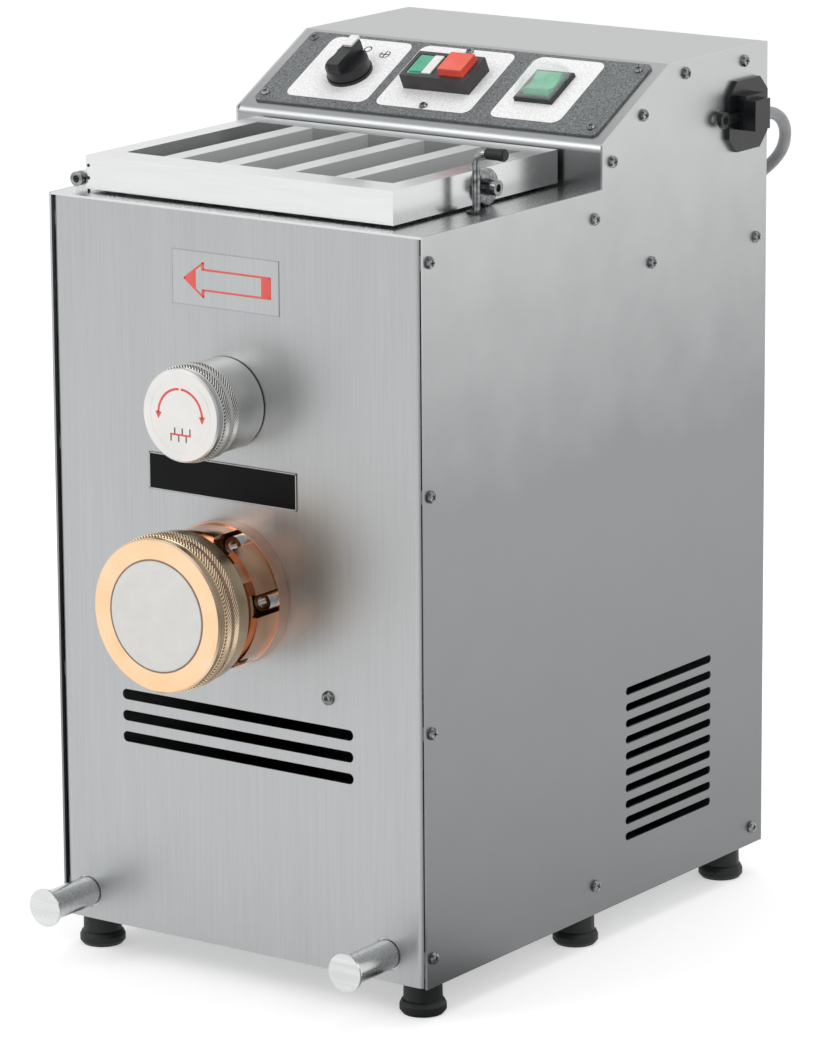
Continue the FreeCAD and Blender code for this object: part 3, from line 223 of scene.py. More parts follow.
def knurled_metal(name, dark, light, rough, centre_z, radius, teeth):
    """Knurled band with painted light: a painted highlight on the crests and painted shade in the grooves, at
    45 degrees and in step with knurled_sleeve. The tone is |2f - 1|, with f the fraction of the tooth at
    (angle, y)."""
    material, tree, shader, place = start(name, Metallic=1.0, Roughness=rough)
    parts = from_axis(tree, place, centre_z)
    angle = add(tree, "ShaderNodeMath", {0: parts["X"], 1: parts["Z"]}, operation="ARCTAN2").outputs[0]
    turn = add(tree, "ShaderNodeMath", {0: angle, 1: teeth / FULL_TURN}, operation="MULTIPLY").outputs[0]
    pace = teeth / (FULL_TURN * radius * MM)
    tone = add(tree, "ShaderNodeMath", {0: parts["Y"], 1: pace, 2: turn}, operation="MULTIPLY_ADD").outputs[0]
    tone = add(tree, "ShaderNodeMath", {0: tone}, operation="FRACT").outputs[0]
    tone = add(tree, "ShaderNodeMath", {0: tone, 1: 2.0, 2: -1.0}, operation="MULTIPLY_ADD").outputs[0]
    tone = add(tree, "ShaderNodeMath", {0: tone}, operation="ABSOLUTE").outputs[0]
    wear = specks(tree, place, 5.0)
    dress(tree, shader, (tone, [(0.2, dark), (0.75, light)]), rough=(wear, rough - 0.06, rough + 0.08))
    return material


def moulded(name, dark, light, rough, grain_mm=0.6, grain_deep=0.02, coat=0.0, gloss=0.5):
    """Moulded, cast or printed skin: a grain in its gloss and relief, slightly uneven tone."""
    material, tree, shader, place = start(
        name, Roughness=rough, Coat_Weight=coat, Coat_Roughness=0.15, Specular_IOR_Level=gloss)
    grain = specks(tree, place, grain_mm)
    tone = specks(tree, place, 12.0)
    dress(tree, shader, (tone, [(0.3, dark), (0.7, light)]),
          rough=(grain, rough - 0.06, rough + 0.08), relief=(grain, grain_deep, 0.3))
    return material


def clear_cover(name, tint):
    """Thin polycarbonate cover: nearly clear, with a pale film of its own and glossy edges."""
    material, tree, shader, place = start(name, Roughness=0.1, Alpha=0.16)
    waves = specks(tree, place, 8.0)
    dress(tree, shader, (waves, [(0.2, tint), (0.8, "#ffffff")]), relief=(waves, 0.05, 0.2))
    return material


def speckled_film(name, dark, light, rough):
    """Printed polyester overlay: a fine two-tone speckle, drawn at 0.9 mm, under a satin face."""
    material, tree, shader, place = start(name, Roughness=rough, Specular_IOR_Level=0.4)
    grain = add(tree, "ShaderNodeTexVoronoi", {"Vector": place, "Scale": 1000 / 0.9}).outputs["Distance"]
    soft = specks(tree, place, 1.4, 3.0)
    tone = add(tree, "ShaderNodeMath", {0: grain, 1: 0.5, 2: soft}, operation="MULTIPLY_ADD").outputs[0]
    dress(tree, shader, (tone, [(0.42, dark), (1.0, light)]), relief=(soft, 0.01, 0.3))
    return material


# Belt-ground front panel: matt grey with faint upright lines that catch the light
front_steel = brushed_stainless("brushed_stainless_front", "#a5a7a8", "#b8babb", along="z", rough=0.38)
label_vinyl = brushed_stainless("clear_vinyl_over_steel", "#a8aaab", "#bbbdbe", along="z", rough=0.34)

# Rolled satin sheet: a soft even grey that mirrors only a blur, darker towards the floor by a painted
# reflection in its colour
side_steel = satin_stainless_painted_reflection("satin_stainless_side", "#7e8081", "#c6c8c8", rough=0.36, middle="#8f9192")
roof_steel = satin_stainless_painted_reflection(
    "satin_stainless_roof", "#8b8d8e", "#b0b2b2", rough=0.30, low_mm=500.0, high_mm=560.0)
deck_steel = satin_stainless_painted_reflection(
    "satin_stainless_deck", "#c4c6c7", "#d8dada", rough=0.26, low_mm=480.0, high_mm=510.0)

# Lid of buffed sheet, nearly white; its bars face one another and stay pale by a less metallic tone, their
# tops paler by a painted highlight
lid_steel = polished_stainless("buffed_stainless_lid", "#d6d7d7", "#dcdddd", rough=0.2)
bar_steel = satin_stainless_painted_reflection(
    "buffed_stainless_bars", "#c9cbcb", "#d0d2d2", rough=0.38, low_mm=490.0, high_mm=524.0, metallic=0.3)
tank_steel = polished_stainless("buffed_stainless_tank", "#8f9192", "#b4b6b7", rough=0.25)

# Small bright steel: screws and the catch are darker with sharp glints, pegs and socket screws paler
bright_screw = polished_stainless("nickelled_screw_steel", "#5f6162", "#a2a4a5", rough=0.16)
socket_steel = polished_stainless("stainless_socket_screws", "#c3c5c5", "#e2e3e3", rough=0.18)
peg_steel = polished_stainless("turned_stainless_pegs", "#cbcdcd", "#dbdcdc", rough=0.26)

# Steel and castings inside the casing: duller, the drive dark with oil
inner_steel = brushed_stainless("mill_finish_steel", "#7d7f80", "#96989a", along="x", rough=0.4)
dark_steel = brushed_stainless("oiled_drive_steel", "#2b2c2d", "#45474a", along="x", rough=0.4)
cast_metal = moulded(
    "cast_aluminium_housing", "#7f8284", "#9b9ea0", rough=0.5, grain_mm=1.6, grain_deep=0.08)
can_metal = polished_stainless("drawn_aluminium_can", "#a9abac", "#c7c9ca", rough=0.3)
bush_bronze = turned_metal("sintered_bronze_bush", "#8f7247", "#ab8a58", rough=0.5, centre_z=PRESS)

# Turned aluminium knob: pale grey with fine rings, a frosted face and a knurled grip that glitters by a
# painted highlight on its crests and painted shade in its grooves
knob_metal = turned_metal("turned_aluminium_knob", "#d2d2d0", "#e4e4e2", rough=0.34, centre_z=MIXER)
knob_face = turned_metal("faced_aluminium_knob", "#dbd9d6", "#e2e0dd", rough=0.5, centre_z=MIXER)
knurl_metal = knurled_metal(
    "knurled_aluminium_band", "#444443", "#d4d4d1", rough=0.3, centre_z=MIXER, radius=KNOB_RADIUS,
    teeth=KNOB_TEETH)

# Turned brass ring nut: pale and pinkish on its face, partly by painted light, with painted shade in the
# knurling's grooves and a painted highlight on its crests
brass_face = turned_metal("faced_brass_ring", "#f2c59c", "#f8d0ac", rough=0.34, centre_z=PRESS)
brass_side = turned_metal("turned_brass_ring", "#cdb293", "#e6d0b4", rough=0.24, centre_z=PRESS)
knurl_brass = knurled_metal(
    "knurled_brass_band", "#6f5a45", "#ecd6b8", rough=0.28, centre_z=PRESS, radius=RING_RADIUS,
    teeth=RING_TEETH)

# Bronze press head: a polished drum that mirrors its screws, a flange made paler by a painted highlight, and
# a duller die
drum_bronze = turned_metal("polished_bronze_drum", "#b07f62", "#d6ac8e", rough=0.13, centre_z=PRESS)
flange_bronze = turned_metal("turned_bronze_flange", "#c39c86", "#d8b6a1", rough=0.22, centre_z=PRESS)
die_bronze = turned_metal("turned_bronze_die", "#a87b4d", "#c69863", rough=0.3, centre_z=PRESS)

# Moulded plastics and rubber: even tone, a fine grain that breaks up the highlights
white_plug = moulded(
    "white_acetal_plug", "#e4e3e0", "#eae9e6", rough=0.3, grain_mm=1.0, grain_deep=0.005)
white_abs = moulded("white_abs_insert", "#e6e6e4", "#efefed", rough=0.35, grain_mm=0.8, grain_deep=0.01)
black_rubber = moulded(
    "black_nitrile_rubber", "#0a0d0d", "#141818", rough=0.5, grain_mm=0.8, grain_deep=0.03, gloss=0.4)
brown_gap_ring = moulded("brown_ring_over_gap", "#84705f", "#98836f", rough=0.5, grain_mm=0.6, grain_deep=0.01)
black_gloss = moulded(
    "black_nylon_gland", "#08090a", "#15171a", rough=0.28, grain_mm=0.8, grain_deep=0.02)
knob_black = moulded(
    "black_abs_selector", "#141517", "#232427", rough=0.35, grain_mm=0.7, grain_deep=0.02)
frame_black = moulded(
    "aubergine_black_abs", "#332d31", "#403a3e", rough=0.42, grain_mm=0.7, grain_deep=0.02)
switch_grey = moulded(
    "grey_phenolic_switch", "#2c2d2f", "#3c3d40", rough=0.45, grain_mm=0.9, grain_deep=0.03)
# Near black laid over recesses as thin plates: painted shade
painted_recess_shade = moulded("shadowed_recess", "#0b0b0c", "#1a1a1c", rough=0.6, grain_mm=0.8, grain_deep=0.02)
grey_pvc = moulded("grey_pvc_sheath", "#7f8183", "#939597", rough=0.38, grain_mm=1.5, grain_deep=0.015)

# Keys: clear colours under a thin gloss, and a nearly clear hood over the rocker
green_key = moulded(
    "green_abs_key", "#3f9f80", "#57b894", rough=0.32, grain_mm=0.7, grain_deep=0.01, coat=0.2)
red_key = moulded(
    "red_abs_key", "#e4503b", "#f2604c", rough=0.32, grain_mm=0.7, grain_deep=0.01, coat=0.2)
rocker_green = moulded(
    "green_translucent_key", "#2fae7e", "#46c493", rough=0.25, grain_mm=0.7, grain_deep=0.01, coat=0.3)
rocker_cover = clear_cover("clear_polycarbonate_hood", "#eafaf3")

# Printed films and inks: speckled grey overlay with paler windows, flat satin inks, black nameplate
overlay = speckled_film("printed_polyester_overlay", "#191b1d", "#868a8c", rough=0.45)
window_film = speckled_film("pale_polyester_windows", "#dadada", "#ffffff", rough=0.4)
nameplate = moulded(
    "black_anodised_nameplate", "#050506", "#0a0b0c", rough=0.4, grain_mm=0.5, grain_deep=0.01, gloss=0.12)
film_edge = moulded("vinyl_film_edge", "#989a9b", "#a6a8a9", rough=0.4, grain_mm=0.6, grain_deep=0.01)
plate_edge = moulded(
    "pale_print_on_nameplate", "#b9babb", "#cfd0d0", rough=0.4, grain_mm=0.6, grain_deep=0.01)
red_ink = moulded("red_screen_ink", "#ea5c52", "#f26a60", rough=0.45, grain_mm=1.0, grain_deep=0.01)
black_ink = moulded("black_screen_ink", "#141415", "#232324", rough=0.45, grain_mm=1.0, grain_deep=0.01)
white_ink = moulded("white_screen_ink", "#eeeeee", "#fbfbfb", rough=0.45, grain_mm=1.0, grain_deep=0.01)

NODE_FINISH = {
    front_steel: ["front_panel"],
    side_steel: ["left_side_panel", "right_side_panel", "back_panel"],
    roof_steel: ["console_shell"],
    deck_steel: ["deck_sheet", "hinge_brackets"],
    lid_steel: ["lid_frame"],
    bar_steel: ["lid_bars"],
    tank_steel: ["mixing_tank"],
    inner_steel: ["base_pan", "bearing_plate", "electrics_shelf", "fan_cover", "mixing_arm", "screw_blocks"],
    bright_screw: ["casing_screws", "overlay_screws", "hinge_bolts", "lid_catch", "latch_rod"],
    dark_steel: ["drive_chains", "mixer_sprocket", "output_shaft", "rotor", "screw_sprockets"],
    socket_steel: ["die_head_screws"],
    knob_metal: ["mixer_knob", "mixer_boss"],
    brass_side: ["ring_nut"],
    drum_bronze: ["die_head"],
    die_bronze: ["die_insert", "pressing_screw"],
    bush_bronze: ["shaft_bushes"],
    cast_metal: ["motor_housing", "reduction_gearbox"],
    white_plug: ["closing_plug"],
    black_rubber: ["rubber_feet", "latch_grip"],
    peg_steel: ["front_pegs"],
    black_gloss: ["cord_gland", "mains_plug", "latch_bush", "motor_fan"],
    knob_black: ["selector_knob", "selector_switch", "rocker_bezel"],
    frame_black: ["start_stop_frame"],
    switch_grey: ["contactor", "interlock_switch"],
    green_key: ["start_button"],
    red_key: ["stop_button"],
    rocker_green: ["rocker_key"],
    rocker_cover: ["rocker_hood"],
    overlay: ["control_overlay"],
    label_vinyl: ["label_film"],
    nameplate: ["blank_nameplate"],
    can_metal: ["run_capacitor"],
    grey_pvc: ["cord_tube", "cord_coil"],
}
for material, names in NODE_FINISH.items():
    for name in names:
        mesh = bpy.data.objects[name].data
        mesh.materials.clear()
        mesh.materials.append(material)

# Surfaces


def piece(name, points, faces, material, body, slot):
    """A mesh object from arrays, with its finish and the body that it rides on."""
    mesh = bpy.data.meshes.new(name)
    mesh.from_pydata(np.asarray(points, float).reshape(-1, 3).tolist(), [], faces)
    mesh.update()
    mesh.materials.append(material)
    thing = bpy.data.objects.new(name, mesh)
    bpy.context.collection.objects.link(thing)
    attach(thing, body)


def around(columns):
    """Angles of a full turn in equal steps, as one row."""
    return np.linspace(0, FULL_TURN, columns, endpoint=False)[None, :]


def hoop(name, centre_z, reach, y, angle, material, body, slot):
    """A section carried round a shaft's line and closed both ways: x and z are the line's plus reach
    times the sine and the cosine of the angle, with a row for each point of the section."""
    reach, y, angle = np.broadcast_arrays(reach, y, angle)
    points = spot(np.stack([SHAFT_X + reach * np.sin(angle), y, centre_z + reach * np.cos(angle)], -1))
    rows, columns = reach.shape
    row, column = np.meshgrid(np.arange(rows), np.arange(columns), indexing="ij")
    below, right = (row + 1) % rows, (column + 1) % columns
    quads = np.stack([row * columns + column, row * columns + right,
                      below * columns + right, below * columns + column], -1)
    piece(name, points, quads.reshape(-1, 4).tolist(), material, body, slot)


def knurled_sleeve(name, centre_z, radius, start_y, end_y, teeth, material, body, slot):
    """Sleeve about a shaft's line with diagonal knurling: the radius is R + d |2f - 1|, with f the
    fraction of the tooth at (angle, y) on a helix at 45 degrees, and d fading out at both ends."""
    fade, wall = 0.5, 1.2
    y = np.linspace(start_y, end_y, 26)[:, None]
    angle = around(teeth * 6)
    tooth = teeth * (angle + y / radius) / FULL_TURN
    ends = np.clip(np.minimum(y - start_y, end_y - y) / fade, 0, 1)
    reach = radius + KNURL_DEPTH * np.abs(2 * (tooth % 1.0) - 1) * ends
    inner = np.full(angle.shape, radius - wall)
    hoop(name, centre_z, np.vstack([inner, reach, inner]), np.vstack([y[:1], y, y[-1:]]), angle,
         material, body, slot)


def ring_plate(name, centre_z, material, body, slot, inner, outer, front, thick):
    """Flat ring about a shaft's line: a section (radius, y) carried round, its front edges eased."""
    ease = min(0.1, thick / 3)
    section = np.array([
        (inner, front + thick), (inner, front + ease), (inner + ease, front),
        (outer - ease, front), (outer, front + ease), (outer, front + thick)])
    hoop(name, centre_z, section[:, :1], section[:, 1:], around(160), material, body, slot)


def slabs(outlines, place, low, high):
    """Thin slabs: each outline (u, v) at two heights, walls between and a face at each end. An
    outline whose signed area, the sum of its points' cross products, is negative is turned round."""
    points, faces, count = [], [], 0
    for outline in outlines:
        outline = np.asarray(outline, float)
        number = len(outline)
        after = np.roll(outline, -1, axis=0)
        area = np.sum(outline[:, 0] * after[:, 1] - after[:, 0] * outline[:, 1])
        outline = outline if area > 0 else outline[::-1]
        points.append(place(outline[:, 0], outline[:, 1], np.full(number, low)))
        points.append(place(outline[:, 0], outline[:, 1], np.full(number, high)))
        ring = np.arange(number)
        following = np.roll(ring, -1)
        faces += (np.stack([ring, following, following + number, ring + number], -1) + count).tolist()
        faces.append((ring[::-1] + count).tolist())
        faces.append((ring + number + count).tolist())
        count += 2 * number
    return np.concatenate(points), faces


def print_on(name, outlines, place, material, body, slot, low, high):
    """A piece made of thin slabs on one face of the machine, from one height over it to another."""
    points, faces = slabs(outlines, place, low, high)
    piece(name, points, faces, material, body, slot)


def on_front(u, v, out):
    """Front panel: u along x, v up, out towards the viewer."""
    return spot(np.stack([u, FRONT - out, v], -1))


def on_knob(u, v, out):
    """Knob face, u and v from the shaft's centre."""
    return spot(np.stack([SHAFT_X + u, KNOB_FACE - out, MIXER + v], -1))


def on_right(u, v, out):
    """Right side panel: u along y, v up."""
    return spot(np.stack([SIDE + out, u, v], -1))


def on_left(u, v, out):
    """Left side panel, as the right one."""
    return spot(np.stack([-SIDE - out, u, v], -1))


def on_lid(u, v, out):
    """Front wall of the lid: u along x, v up."""
    return spot(np.stack([u, LID_FRONT - out, v], -1))


def rounded_box(x0, x1, y0, y1, radius):
    """Rectangle outline with quarter circles at its corners."""
    quarter = math.pi / 2
    turn = np.linspace(0, quarter, 6)
    corners = [(x1 - radius, y1 - radius), (x0 + radius, y1 - radius),
               (x0 + radius, y0 + radius), (x1 - radius, y0 + radius)]
    return np.concatenate([np.stack([
        x + radius * np.cos(turn + number * quarter),
        y + radius * np.sin(turn + number * quarter)], -1) for number, (x, y) in enumerate(corners)])


def stroke(line, width):
    """Outline of a line of given width: its points set off to both sides along the normals."""
    line = np.asarray(line, float)
    along = np.gradient(line, axis=0)
    along /= np.linalg.norm(along, axis=1, keepdims=True)
    normal = np.stack([-along[:, 1], along[:, 0]], -1) * width / 2
    return np.concatenate([line + normal, (line - normal)[::-1]])


def arc_line(x, y, radius, start_deg, end_deg, steps=40):
    """Circle arc, angles clockwise from the top."""
    turn = np.radians(np.linspace(start_deg, end_deg, steps))
    return np.stack([x + radius * np.sin(turn), y + radius * np.cos(turn)], -1)


def clock(radius, degrees):
    """Point at a distance from the centre, its angle clockwise from the top."""
    return radius * math.sin(math.radians(degrees)), radius * math.cos(math.radians(degrees))


def crosses(centres, turns, arm, width):
    """Two crossed bars at each centre, turned by its angle."""
    outlines = []
    for centre, turn in zip(np.array(centres), turns):
        for angle in np.radians([turn, turn + 90]):
            reach = arm * np.array([math.cos(angle), math.sin(angle)])
            outlines.append(stroke([centre - reach, centre + reach], width))
    return outlines


def border_of(node, width):
    """Four bars just inside the edges of a flat node on the front panel."""
    inset, corner = 0.1, 0.15
    low, high = ((np.array(end) - CASING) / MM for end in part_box(node))
    x0, z0 = low[0] + inset, low[2] + inset
    x1, z1 = high[0] - inset, high[2] - inset
    sides = [(x0, x1, z1 - width, z1), (x0, x1, z0, z0 + width),
             (x0, x0 + width, z0, z1), (x1 - width, x1, z0, z1)]
    return [rounded_box(*side, corner) for side in sides]


# Knurled bands of the knob and of the ring nut, crests about 2.3 apart; distances behind the face
for number, (first, last) in enumerate(((6.0, 11.4), (14.6, 20.0)), start=1):
    knurled_sleeve(f"knob_knurl_{number}", MIXER, KNOB_RADIUS, KNOB_FACE + first, KNOB_FACE + last,
                   KNOB_TEETH, knurl_metal, "knob", "turned_aluminium")
for number, (first, last) in enumerate(((6.8, 11.8), (14.2, 19.4)), start=1):
    knurled_sleeve(f"ring_knurl_{number}", PRESS, RING_RADIUS, RING_FACE + first, RING_FACE + last,
                   RING_TEETH, knurl_brass, "ring", "turned_brass")

# Thin rings stand a little proud of the turned parts. The ring nut has a pale faced front, paler than its
# brass partly by painted light, and a smooth band; a brown ring lies over the gap round the plug; and the
# flange has a painted highlight on its face and rim
proud, thin = 0.12, 0.2
ring_plate("ring_front", PRESS, brass_face, "ring", "turned_brass",
           inner=36.2, outer=48.1, front=RING_FACE - proud, thick=thin)
ring_plate("ring_band", PRESS, flange_bronze, "ring", "turned_brass",
           inner=49.0, outer=50.1, front=RING_FACE + 11.9, thick=2.2)
ring_plate("plug_gap_ring", PRESS, brown_gap_ring, "casing", "white_plastic",
           inner=35.3, outer=36.15, front=RING_FACE - 0.5, thick=0.9)
ring_plate("flange_face", PRESS, flange_bronze, "casing", "turned_bronze",
           inner=45.9, outer=46.75, front=FLANGE_FACE - proud, thick=thin)
ring_plate("flange_rim", PRESS, flange_bronze, "casing", "turned_bronze",
           inner=46.0, outer=46.95, front=FLANGE_FACE, thick=10.4)

# The knob has a frosted face with a fine circle on it, and a smooth band between the knurled ones
ring_plate("knob_front", MIXER, knob_face, "knob", "turned_aluminium",
           inner=0.4, outer=28.4, front=KNOB_FACE - proud, thick=thin)
ring_plate("knob_circle", MIXER, knob_metal, "knob", "turned_aluminium",
           inner=23.1, outer=23.35, front=KNOB_FACE - 0.2, thick=0.12)
ring_plate("knob_band", MIXER, knob_face, "knob", "turned_aluminium",
           inner=29.6, outer=30.7, front=KNOB_FACE + 11.5, thick=3.0)

# Knob print: two curved arrows from the top, and a bar crossed by ticks below
arrow_radius = 17.0
arrows = [rounded_box(-8.0, 8.0, -12.6, -11.4, 0.3)]
for side in (1, -1):
    arrows.append(stroke(arc_line(0, 0, arrow_radius, side * 3, side * 88), 1.5))
    arrows.append([clock(arrow_radius + 0.4, side * 101), clock(arrow_radius + 2.4, side * 86),
                   clock(arrow_radius - 2.4, side * 86)])
print_on("knob_arrows", arrows, on_knob, red_ink, "knob", "red_plastic", low=0.1, high=0.24)
tick_height, tick_half = 4.6, 0.4
tick_spots = zip((-7.4, -4.4, -1.4, 1.4, 4.4, 7.4), (-16.4, -12.2) * 3)
ticks = [rounded_box(u - tick_half, u + tick_half, low, low + tick_height, 0.15) for u, low in tick_spots]
print_on("knob_ticks", ticks, on_knob, black_ink, "knob", "black_plastic", low=0.1, high=0.22)

# Arrow label: a red arrow pointing left, outlined, with a solid tip and a solid end
tip, neck, tail = (-37.5, 456.0), -22.5, 29.5
top, bottom = 462.6, 449.6
arrow = [tip, (neck, 467.0), (neck, top), (tail, top), (tail, bottom), (neck, bottom), (neck, 445.0)]
outline = [stroke(pair, 1.3) for pair in zip(arrow, arrow[1:] + arrow[:1])]
corners = [arc_line(x, z, 0.65, 0, 330, 12) for x, z in arrow]
solids = [[tip, (-28.5, top), (-28.5, 449.4)], rounded_box(22.5, tail, bottom, top, 0.2),
          rounded_box(-24.0, -22.2, 462.0, 466.0, 0.1), rounded_box(-24.0, -22.2, 446.0, 450.2, 0.1)]
film = 0.3
for name, outlines, ink in (("label_arrow", outline, 0.08), ("label_arrow_corners", corners, 0.07),
                            ("label_arrow_fills", solids, 0.06)):
    print_on(name, outlines, on_front, red_ink, "casing", "red_plastic", low=film, high=film + ink)

# Pale edges of the label and of the nameplate
print_on("label_border", border_of("label_film", 0.35), on_front, film_edge, "casing", "label_vinyl",
         low=0.25, high=0.33)
print_on("nameplate_border", border_of("blank_nameplate", 0.7), on_front, plate_edge, "casing",
         "nameplate_black", low=0.55, high=0.66)

# Console print: three pale windows, each with a white line round it, drawn as two open halves
sheet, line_width = CONSOLE_SHEET, 0.7
window_sides = ((-115, -50.5), (-42.5, 31.6), (48, 101.5))
windows = [rounded_box(left, right, 16, 81.5, 6.0) for left, right in window_sides]
window_lines = []
for edge in windows:
    half = len(edge) // 2
    halves = edge[:half + 1], np.vstack([edge[half:], edge[:1]])
    window_lines += [stroke(part, line_width) for part in halves]
print_on("overlay_windows", windows, on_slope, window_film, "casing", "overlay_film",
         low=sheet - 0.05, high=sheet + 0.1)
print_on("overlay_lines", window_lines, on_slope, white_ink, "casing", "overlay_film",
         low=sheet, high=sheet + 0.14)

# Marks over the selector: a ring, drawn as two halves, with a bar on its left and a cross on its
# right, each inside an open circle
bold, fine = 0.9, 0.7
height = 68
bars = [[(-66, 64.8), (-66, 71.5)], [(-70, height), (-62, height)], [(-104, height), (-97, height)]]
rings = [arc_line(-82.0, 71.6, 2.6, begin, begin + 181, 48) for begin in (0, 180)]
circles = [arc_line(-66, height, 3.6, 20, 300, 24), arc_line(-100.5, height, 3.6, 200, 480, 24)]
marks = [stroke(line, bold) for line in bars + rings] + [stroke(line, fine) for line in circles]
print_on("selector_marks", marks, on_slope, black_ink, "casing", "overlay_film",
         low=sheet + 0.1, high=sheet + 0.16)

# Painted shade of the cross recesses: dark crosses laid over the pan-head screws in the side panels, by y and
# z, and over the screws in the console's sheet, by x and distance up the slope; each cross is turned its own
# way
side_screws = [
    (-191.3, 483.6), (-191.3, 337.6), (-191.3, 187.1), (-191.3, 41.5), (-7.6, 41.4),
    (184.0, 34.0), (184.0, 441.0), (168.2, 560.6), (96.9, 561.8), (46.8, 541.2),
    (11.1, 516.3), (-9.3, 482.4), (57.0, 444.1)]
sheet_screws = [(-130.0, 15.5), (-130.0, 78.0), (128.0, 15.5), (128.0, 78.0), (-4.5, 18.8), (-4.5, 79.0)]
turns = [37 * number % 90 for number in range(len(side_screws))]
for side, place in (("right", on_right), ("left", on_left)):
    print_on(f"screw_recess_shade_{side}", crosses(side_screws, turns, 2.0, 1.0), place, painted_recess_shade,
             "casing", "black_plastic", low=2.7, high=3.06)
print_on("overlay_screw_recess_shade", crosses(sheet_screws, turns, 1.5, 0.7), on_slope, painted_recess_shade,
         "casing", "black_plastic", low=3.4, high=3.72)

# Pale half of the start key and the pale pointer let into the selector's grip
print_on("start_key_half", [rounded_box(-15.0, -8.1, 38.7, 58.1, 0.5)], on_slope, white_abs,
         "start_key", "white_plastic", low=12.3, high=13.0)
print_on("selector_pointer", [rounded_box(-82.9, -76.1, 50.4, 61.5, 0.8)], on_slope, white_abs,
         "selector", "white_plastic", low=18.8, high=20.4)

# Painted shade of the spot-weld dimples at the lid's front left corner: dark discs on its front wall
weld_shade = [arc_line(-123.4, z, 1.1, 0, 345, 14) for z in (509.0, 517.0)]
print_on("lid_weld_shade", weld_shade, on_lid, painted_recess_shade, "lid", "polished_lid_steel", low=-0.1, high=0.15)

# Cord

# The lead's route from the clamp to the floor, as in the part's source. Then its put-away coil: two
# turns that draw in, a short climb of one thickness, and turns that go out over them. Then the plug's end
route = [
    (155, 160, 527), (155, 188, 527), (151, 213, 512), (138.5, 228, 490), (114, 233, 471), (89, 236, 444),
    (68, 239, 398), (50, 240, 328), (40, 238, 238), (36, 237, 150), (36, 243, 88), (36, 256, 44),
    (36, 277, 15.5)]
coil_x, coil_y, coil_radius, thick = -21.0, 300.0, 49.0, 8.2
coil_points, points_a_turn = 48, 14
climb_start, climb_turns, floor_gap = 1.9, 0.3, 0.2
for number in range(coil_points):
    turns_made = number / points_a_turn
    angle = FULL_TURN * turns_made
    climb = min(max((turns_made - climb_start) / climb_turns, 0.0), 1.0)
    reach = coil_radius + thick * (1 - turns_made if turns_made < 2 else turns_made - 3)
    route.append((coil_x + reach * math.cos(angle), coil_y + reach * math.sin(angle),
                  thick / 2 + floor_gap + climb * thick))
route += [(-69, 325, 12.6), (-80, 307, 13.6), (-88, 293, 14.8), (-90, 281, 15.1), (-90, 271, 15.1)]
curve = bpy.data.curves.new("mains_lead", "CURVE")
curve.dimensions = "3D"
curve.bevel_depth = thick / 2 * MM
curve.bevel_resolution = 5
curve.use_fill_caps = True
spline = curve.splines.new("NURBS")
spline.points.add(len(route) - 1)
controls = np.hstack([spot(route), np.ones((len(route), 1))])
spline.points.foreach_set("co", controls.ravel())
spline.order_u = 3
spline.use_endpoint_u = True
spline.resolution_u = 6
curve.materials.append(grey_pvc)
lead = bpy.data.objects.new("mains_lead", curve)
bpy.context.collection.objects.link(lead)
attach(lead, "casing")
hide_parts("cord_tube", "cord_coil")

# Setting


def backdrop_rays(tree):
    """1 for the rays that show the backdrop: the camera's own, mirrored ones and those through clear
    plastic. The second value is 1 for mirrored rays alone."""
    rays = add(tree, "ShaderNodeLightPath").outputs
    seen = rays["Is Camera Ray"]
    for kind in ("Is Glossy Ray", "Is Transmission Ray"):
        seen = add(tree, "ShaderNodeMath", {0: seen, 1: rays[kind]}, operation="MAXIMUM").outputs[0]
    return seen, rays["Is Glossy Ray"]


def curtain_shade(tree, way, mirrored):
    """The studio as bare metal mirrors it: a dark curtain at the right front, and white elsewhere.
    One less mirrored times a smooth step of the cosine between the level direction and the curtain's."""
    curtain = (0.82, -0.57, 0)
    level = add(tree, "ShaderNodeVectorMath", {0: way, 1: (1, 1, 0)}, operation="MULTIPLY").outputs[0]
    level = add(tree, "ShaderNodeVectorMath", {0: level}, operation="NORMALIZE").outputs[0]
    cosine = add(tree, "ShaderNodeVectorMath", {0: level, 1: curtain}, operation="DOT_PRODUCT")
    dark = add(tree, "ShaderNodeMapRange", {
        "Value": cosine.outputs["Value"], "From Min": 0.86, "From Max": 0.98, "To Max": 0.8},
        interpolation_type="SMOOTHSTEP").outputs["Result"]
    dark = add(tree, "ShaderNodeMath", {0: dark, 1: mirrored}, operation="MULTIPLY").outputs[0]
    return add(tree, "ShaderNodeMath", {0: 1.0, 1: dark}, operation="SUBTRACT").outputs[0]


# Plain pale floor: white to the camera and to reflections, with the object's soft shadow
span = 6.0
floor_mesh = bpy.data.meshes.new("studio_floor")
floor_corners = [(-span, -span, 0), (span, -span, 0), (span, span, 0), (-span, span, 0)]
floor_mesh.from_pydata(floor_corners, [], [(0, 1, 2, 3)])
floor = bpy.data.objects.new("studio_floor", floor_mesh)
bpy.context.collection.objects.link(floor)
floor_finish, tree, shader, place = start("matt_white_paper", Roughness=0.9, Emission_Color=(1, 1, 1, 1))
seen, mirrored = backdrop_rays(tree)
curtain = curtain_shade(tree, place, mirrored)
paper = tones(tree, specks(tree, place, 4.0), [(0.0, "#e4e4e4"), (1.0, "#ececec")])
paper = add(tree, "ShaderNodeVectorMath", {0: paper, "Scale": curtain}, operation="SCALE").outputs[0]
tree.links.new(paper, shader.inputs["Base Color"])
glow = add(tree, "ShaderNodeMath", {0: seen, 1: 0.45}, operation="MULTIPLY").outputs[0]
glow = add(tree, "ShaderNodeMath", {0: glow, 1: curtain}, operation="MULTIPLY").outputs[0]
tree.links.new(glow, shader.inputs["Emission Strength"])
floor_mesh.materials.append(floor_finish)

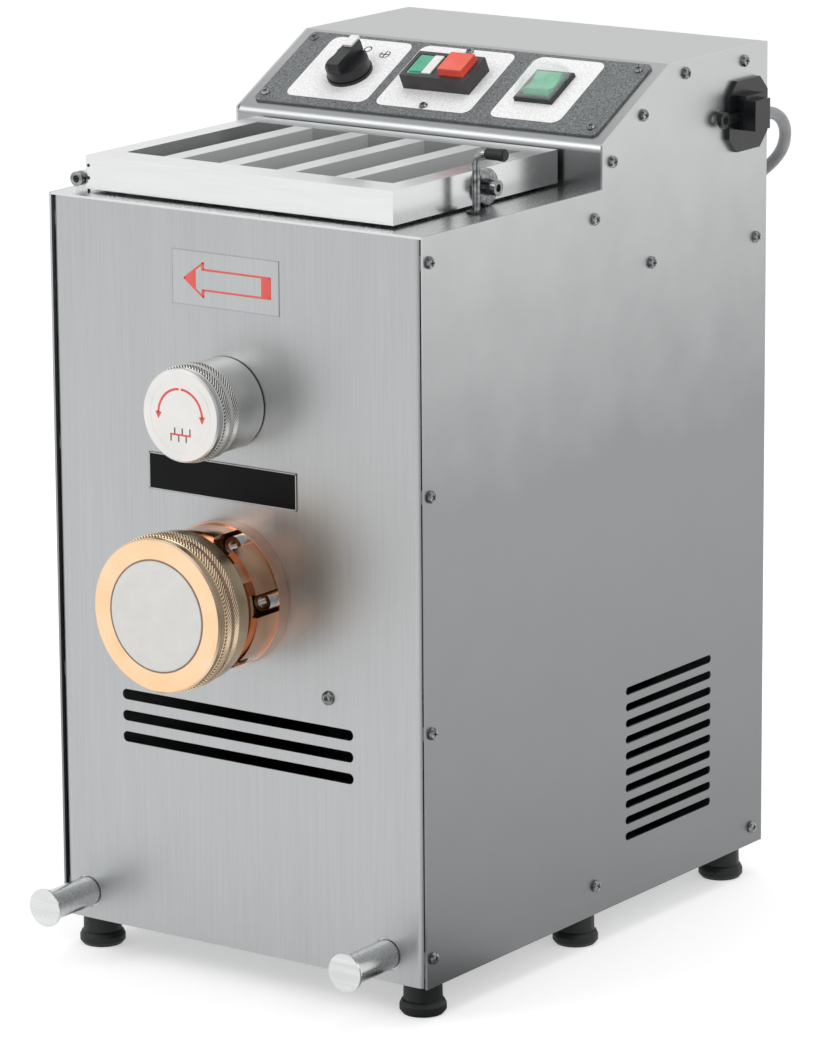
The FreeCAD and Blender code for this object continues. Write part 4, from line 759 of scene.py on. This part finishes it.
# World: full white where it is seen, and a plain lower level where it lights the object
world = bpy.data.worlds.new("studio")
bpy.context.scene.world = world
world.use_nodes = True
tree = world.node_tree
light = tree.nodes["Background"]
light.inputs["Color"].default_value = (1, 1, 1, 1)
seen, mirrored = backdrop_rays(tree)
way = add(tree, "ShaderNodeTexCoord").outputs["Generated"]
curtain = curtain_shade(tree, way, mirrored)
strength = add(tree, "ShaderNodeMapRange", {"Value": seen, "To Min": 0.62, "To Max": 1.0}).outputs["Result"]
strength = add(tree, "ShaderNodeMath", {0: strength, 1: curtain}, operation="MULTIPLY").outputs[0]
tree.links.new(strength, light.inputs["Strength"])


def softbox(name, where, aim, side, power, mirrored=True):
    """Square lamp in metres and watts, aimed at a point; bare metal shows it where it is mirrored."""
    lamp = bpy.data.lights.new(name, "AREA")
    lamp.size = side
    lamp.energy = power
    thing = bpy.data.objects.new(name, lamp)
    thing.location = where
    thing.rotation_euler = (Vector(aim) - Vector(where)).to_track_quat("-Z", "Y").to_euler()
    thing.visible_glossy = mirrored
    bpy.context.collection.objects.link(thing)


softbox("key_softbox", (-1.9, -2.6, 2.6), (0, 0, 0.3), side=1.8, power=29)
softbox("fill_softbox", (2.8, -1.2, 1.8), (0, 0, 0.3), side=1.6, power=14)
softbox("top_softbox", (0.2, 0.6, 3.0), (0, 0, 0.4), side=2.0, power=22, mirrored=False)

# Camera at the photograph's angle: its place from the casing's centre, where it looks and its tilt
stand = Vector((2.0522, -2.8966, 1.1171)) + Vector(CASING.tolist())
forward = Vector((-0.56284, 0.79263, -0.23445)).normalized()
right = Vector((0.81535, 0.57897, 0.0)).normalized()
upward = right.cross(forward)
tilt = Matrix.Rotation(math.radians(-0.3977), 4, "Z")
turned = Matrix((right, upward, -forward)).transposed().to_4x4()
lens = bpy.data.cameras.new("photograph")
lens.lens = 189.56
lens.sensor_width = 36.0
lens.clip_end = 50
camera = bpy.data.objects.new("photograph", lens)
bpy.context.collection.objects.link(camera)
camera.matrix_world = Matrix.Translation(stand) @ turned @ tilt
bpy.context.scene.camera = camera
bpy.context.scene.view_settings.view_transform = "Standard"
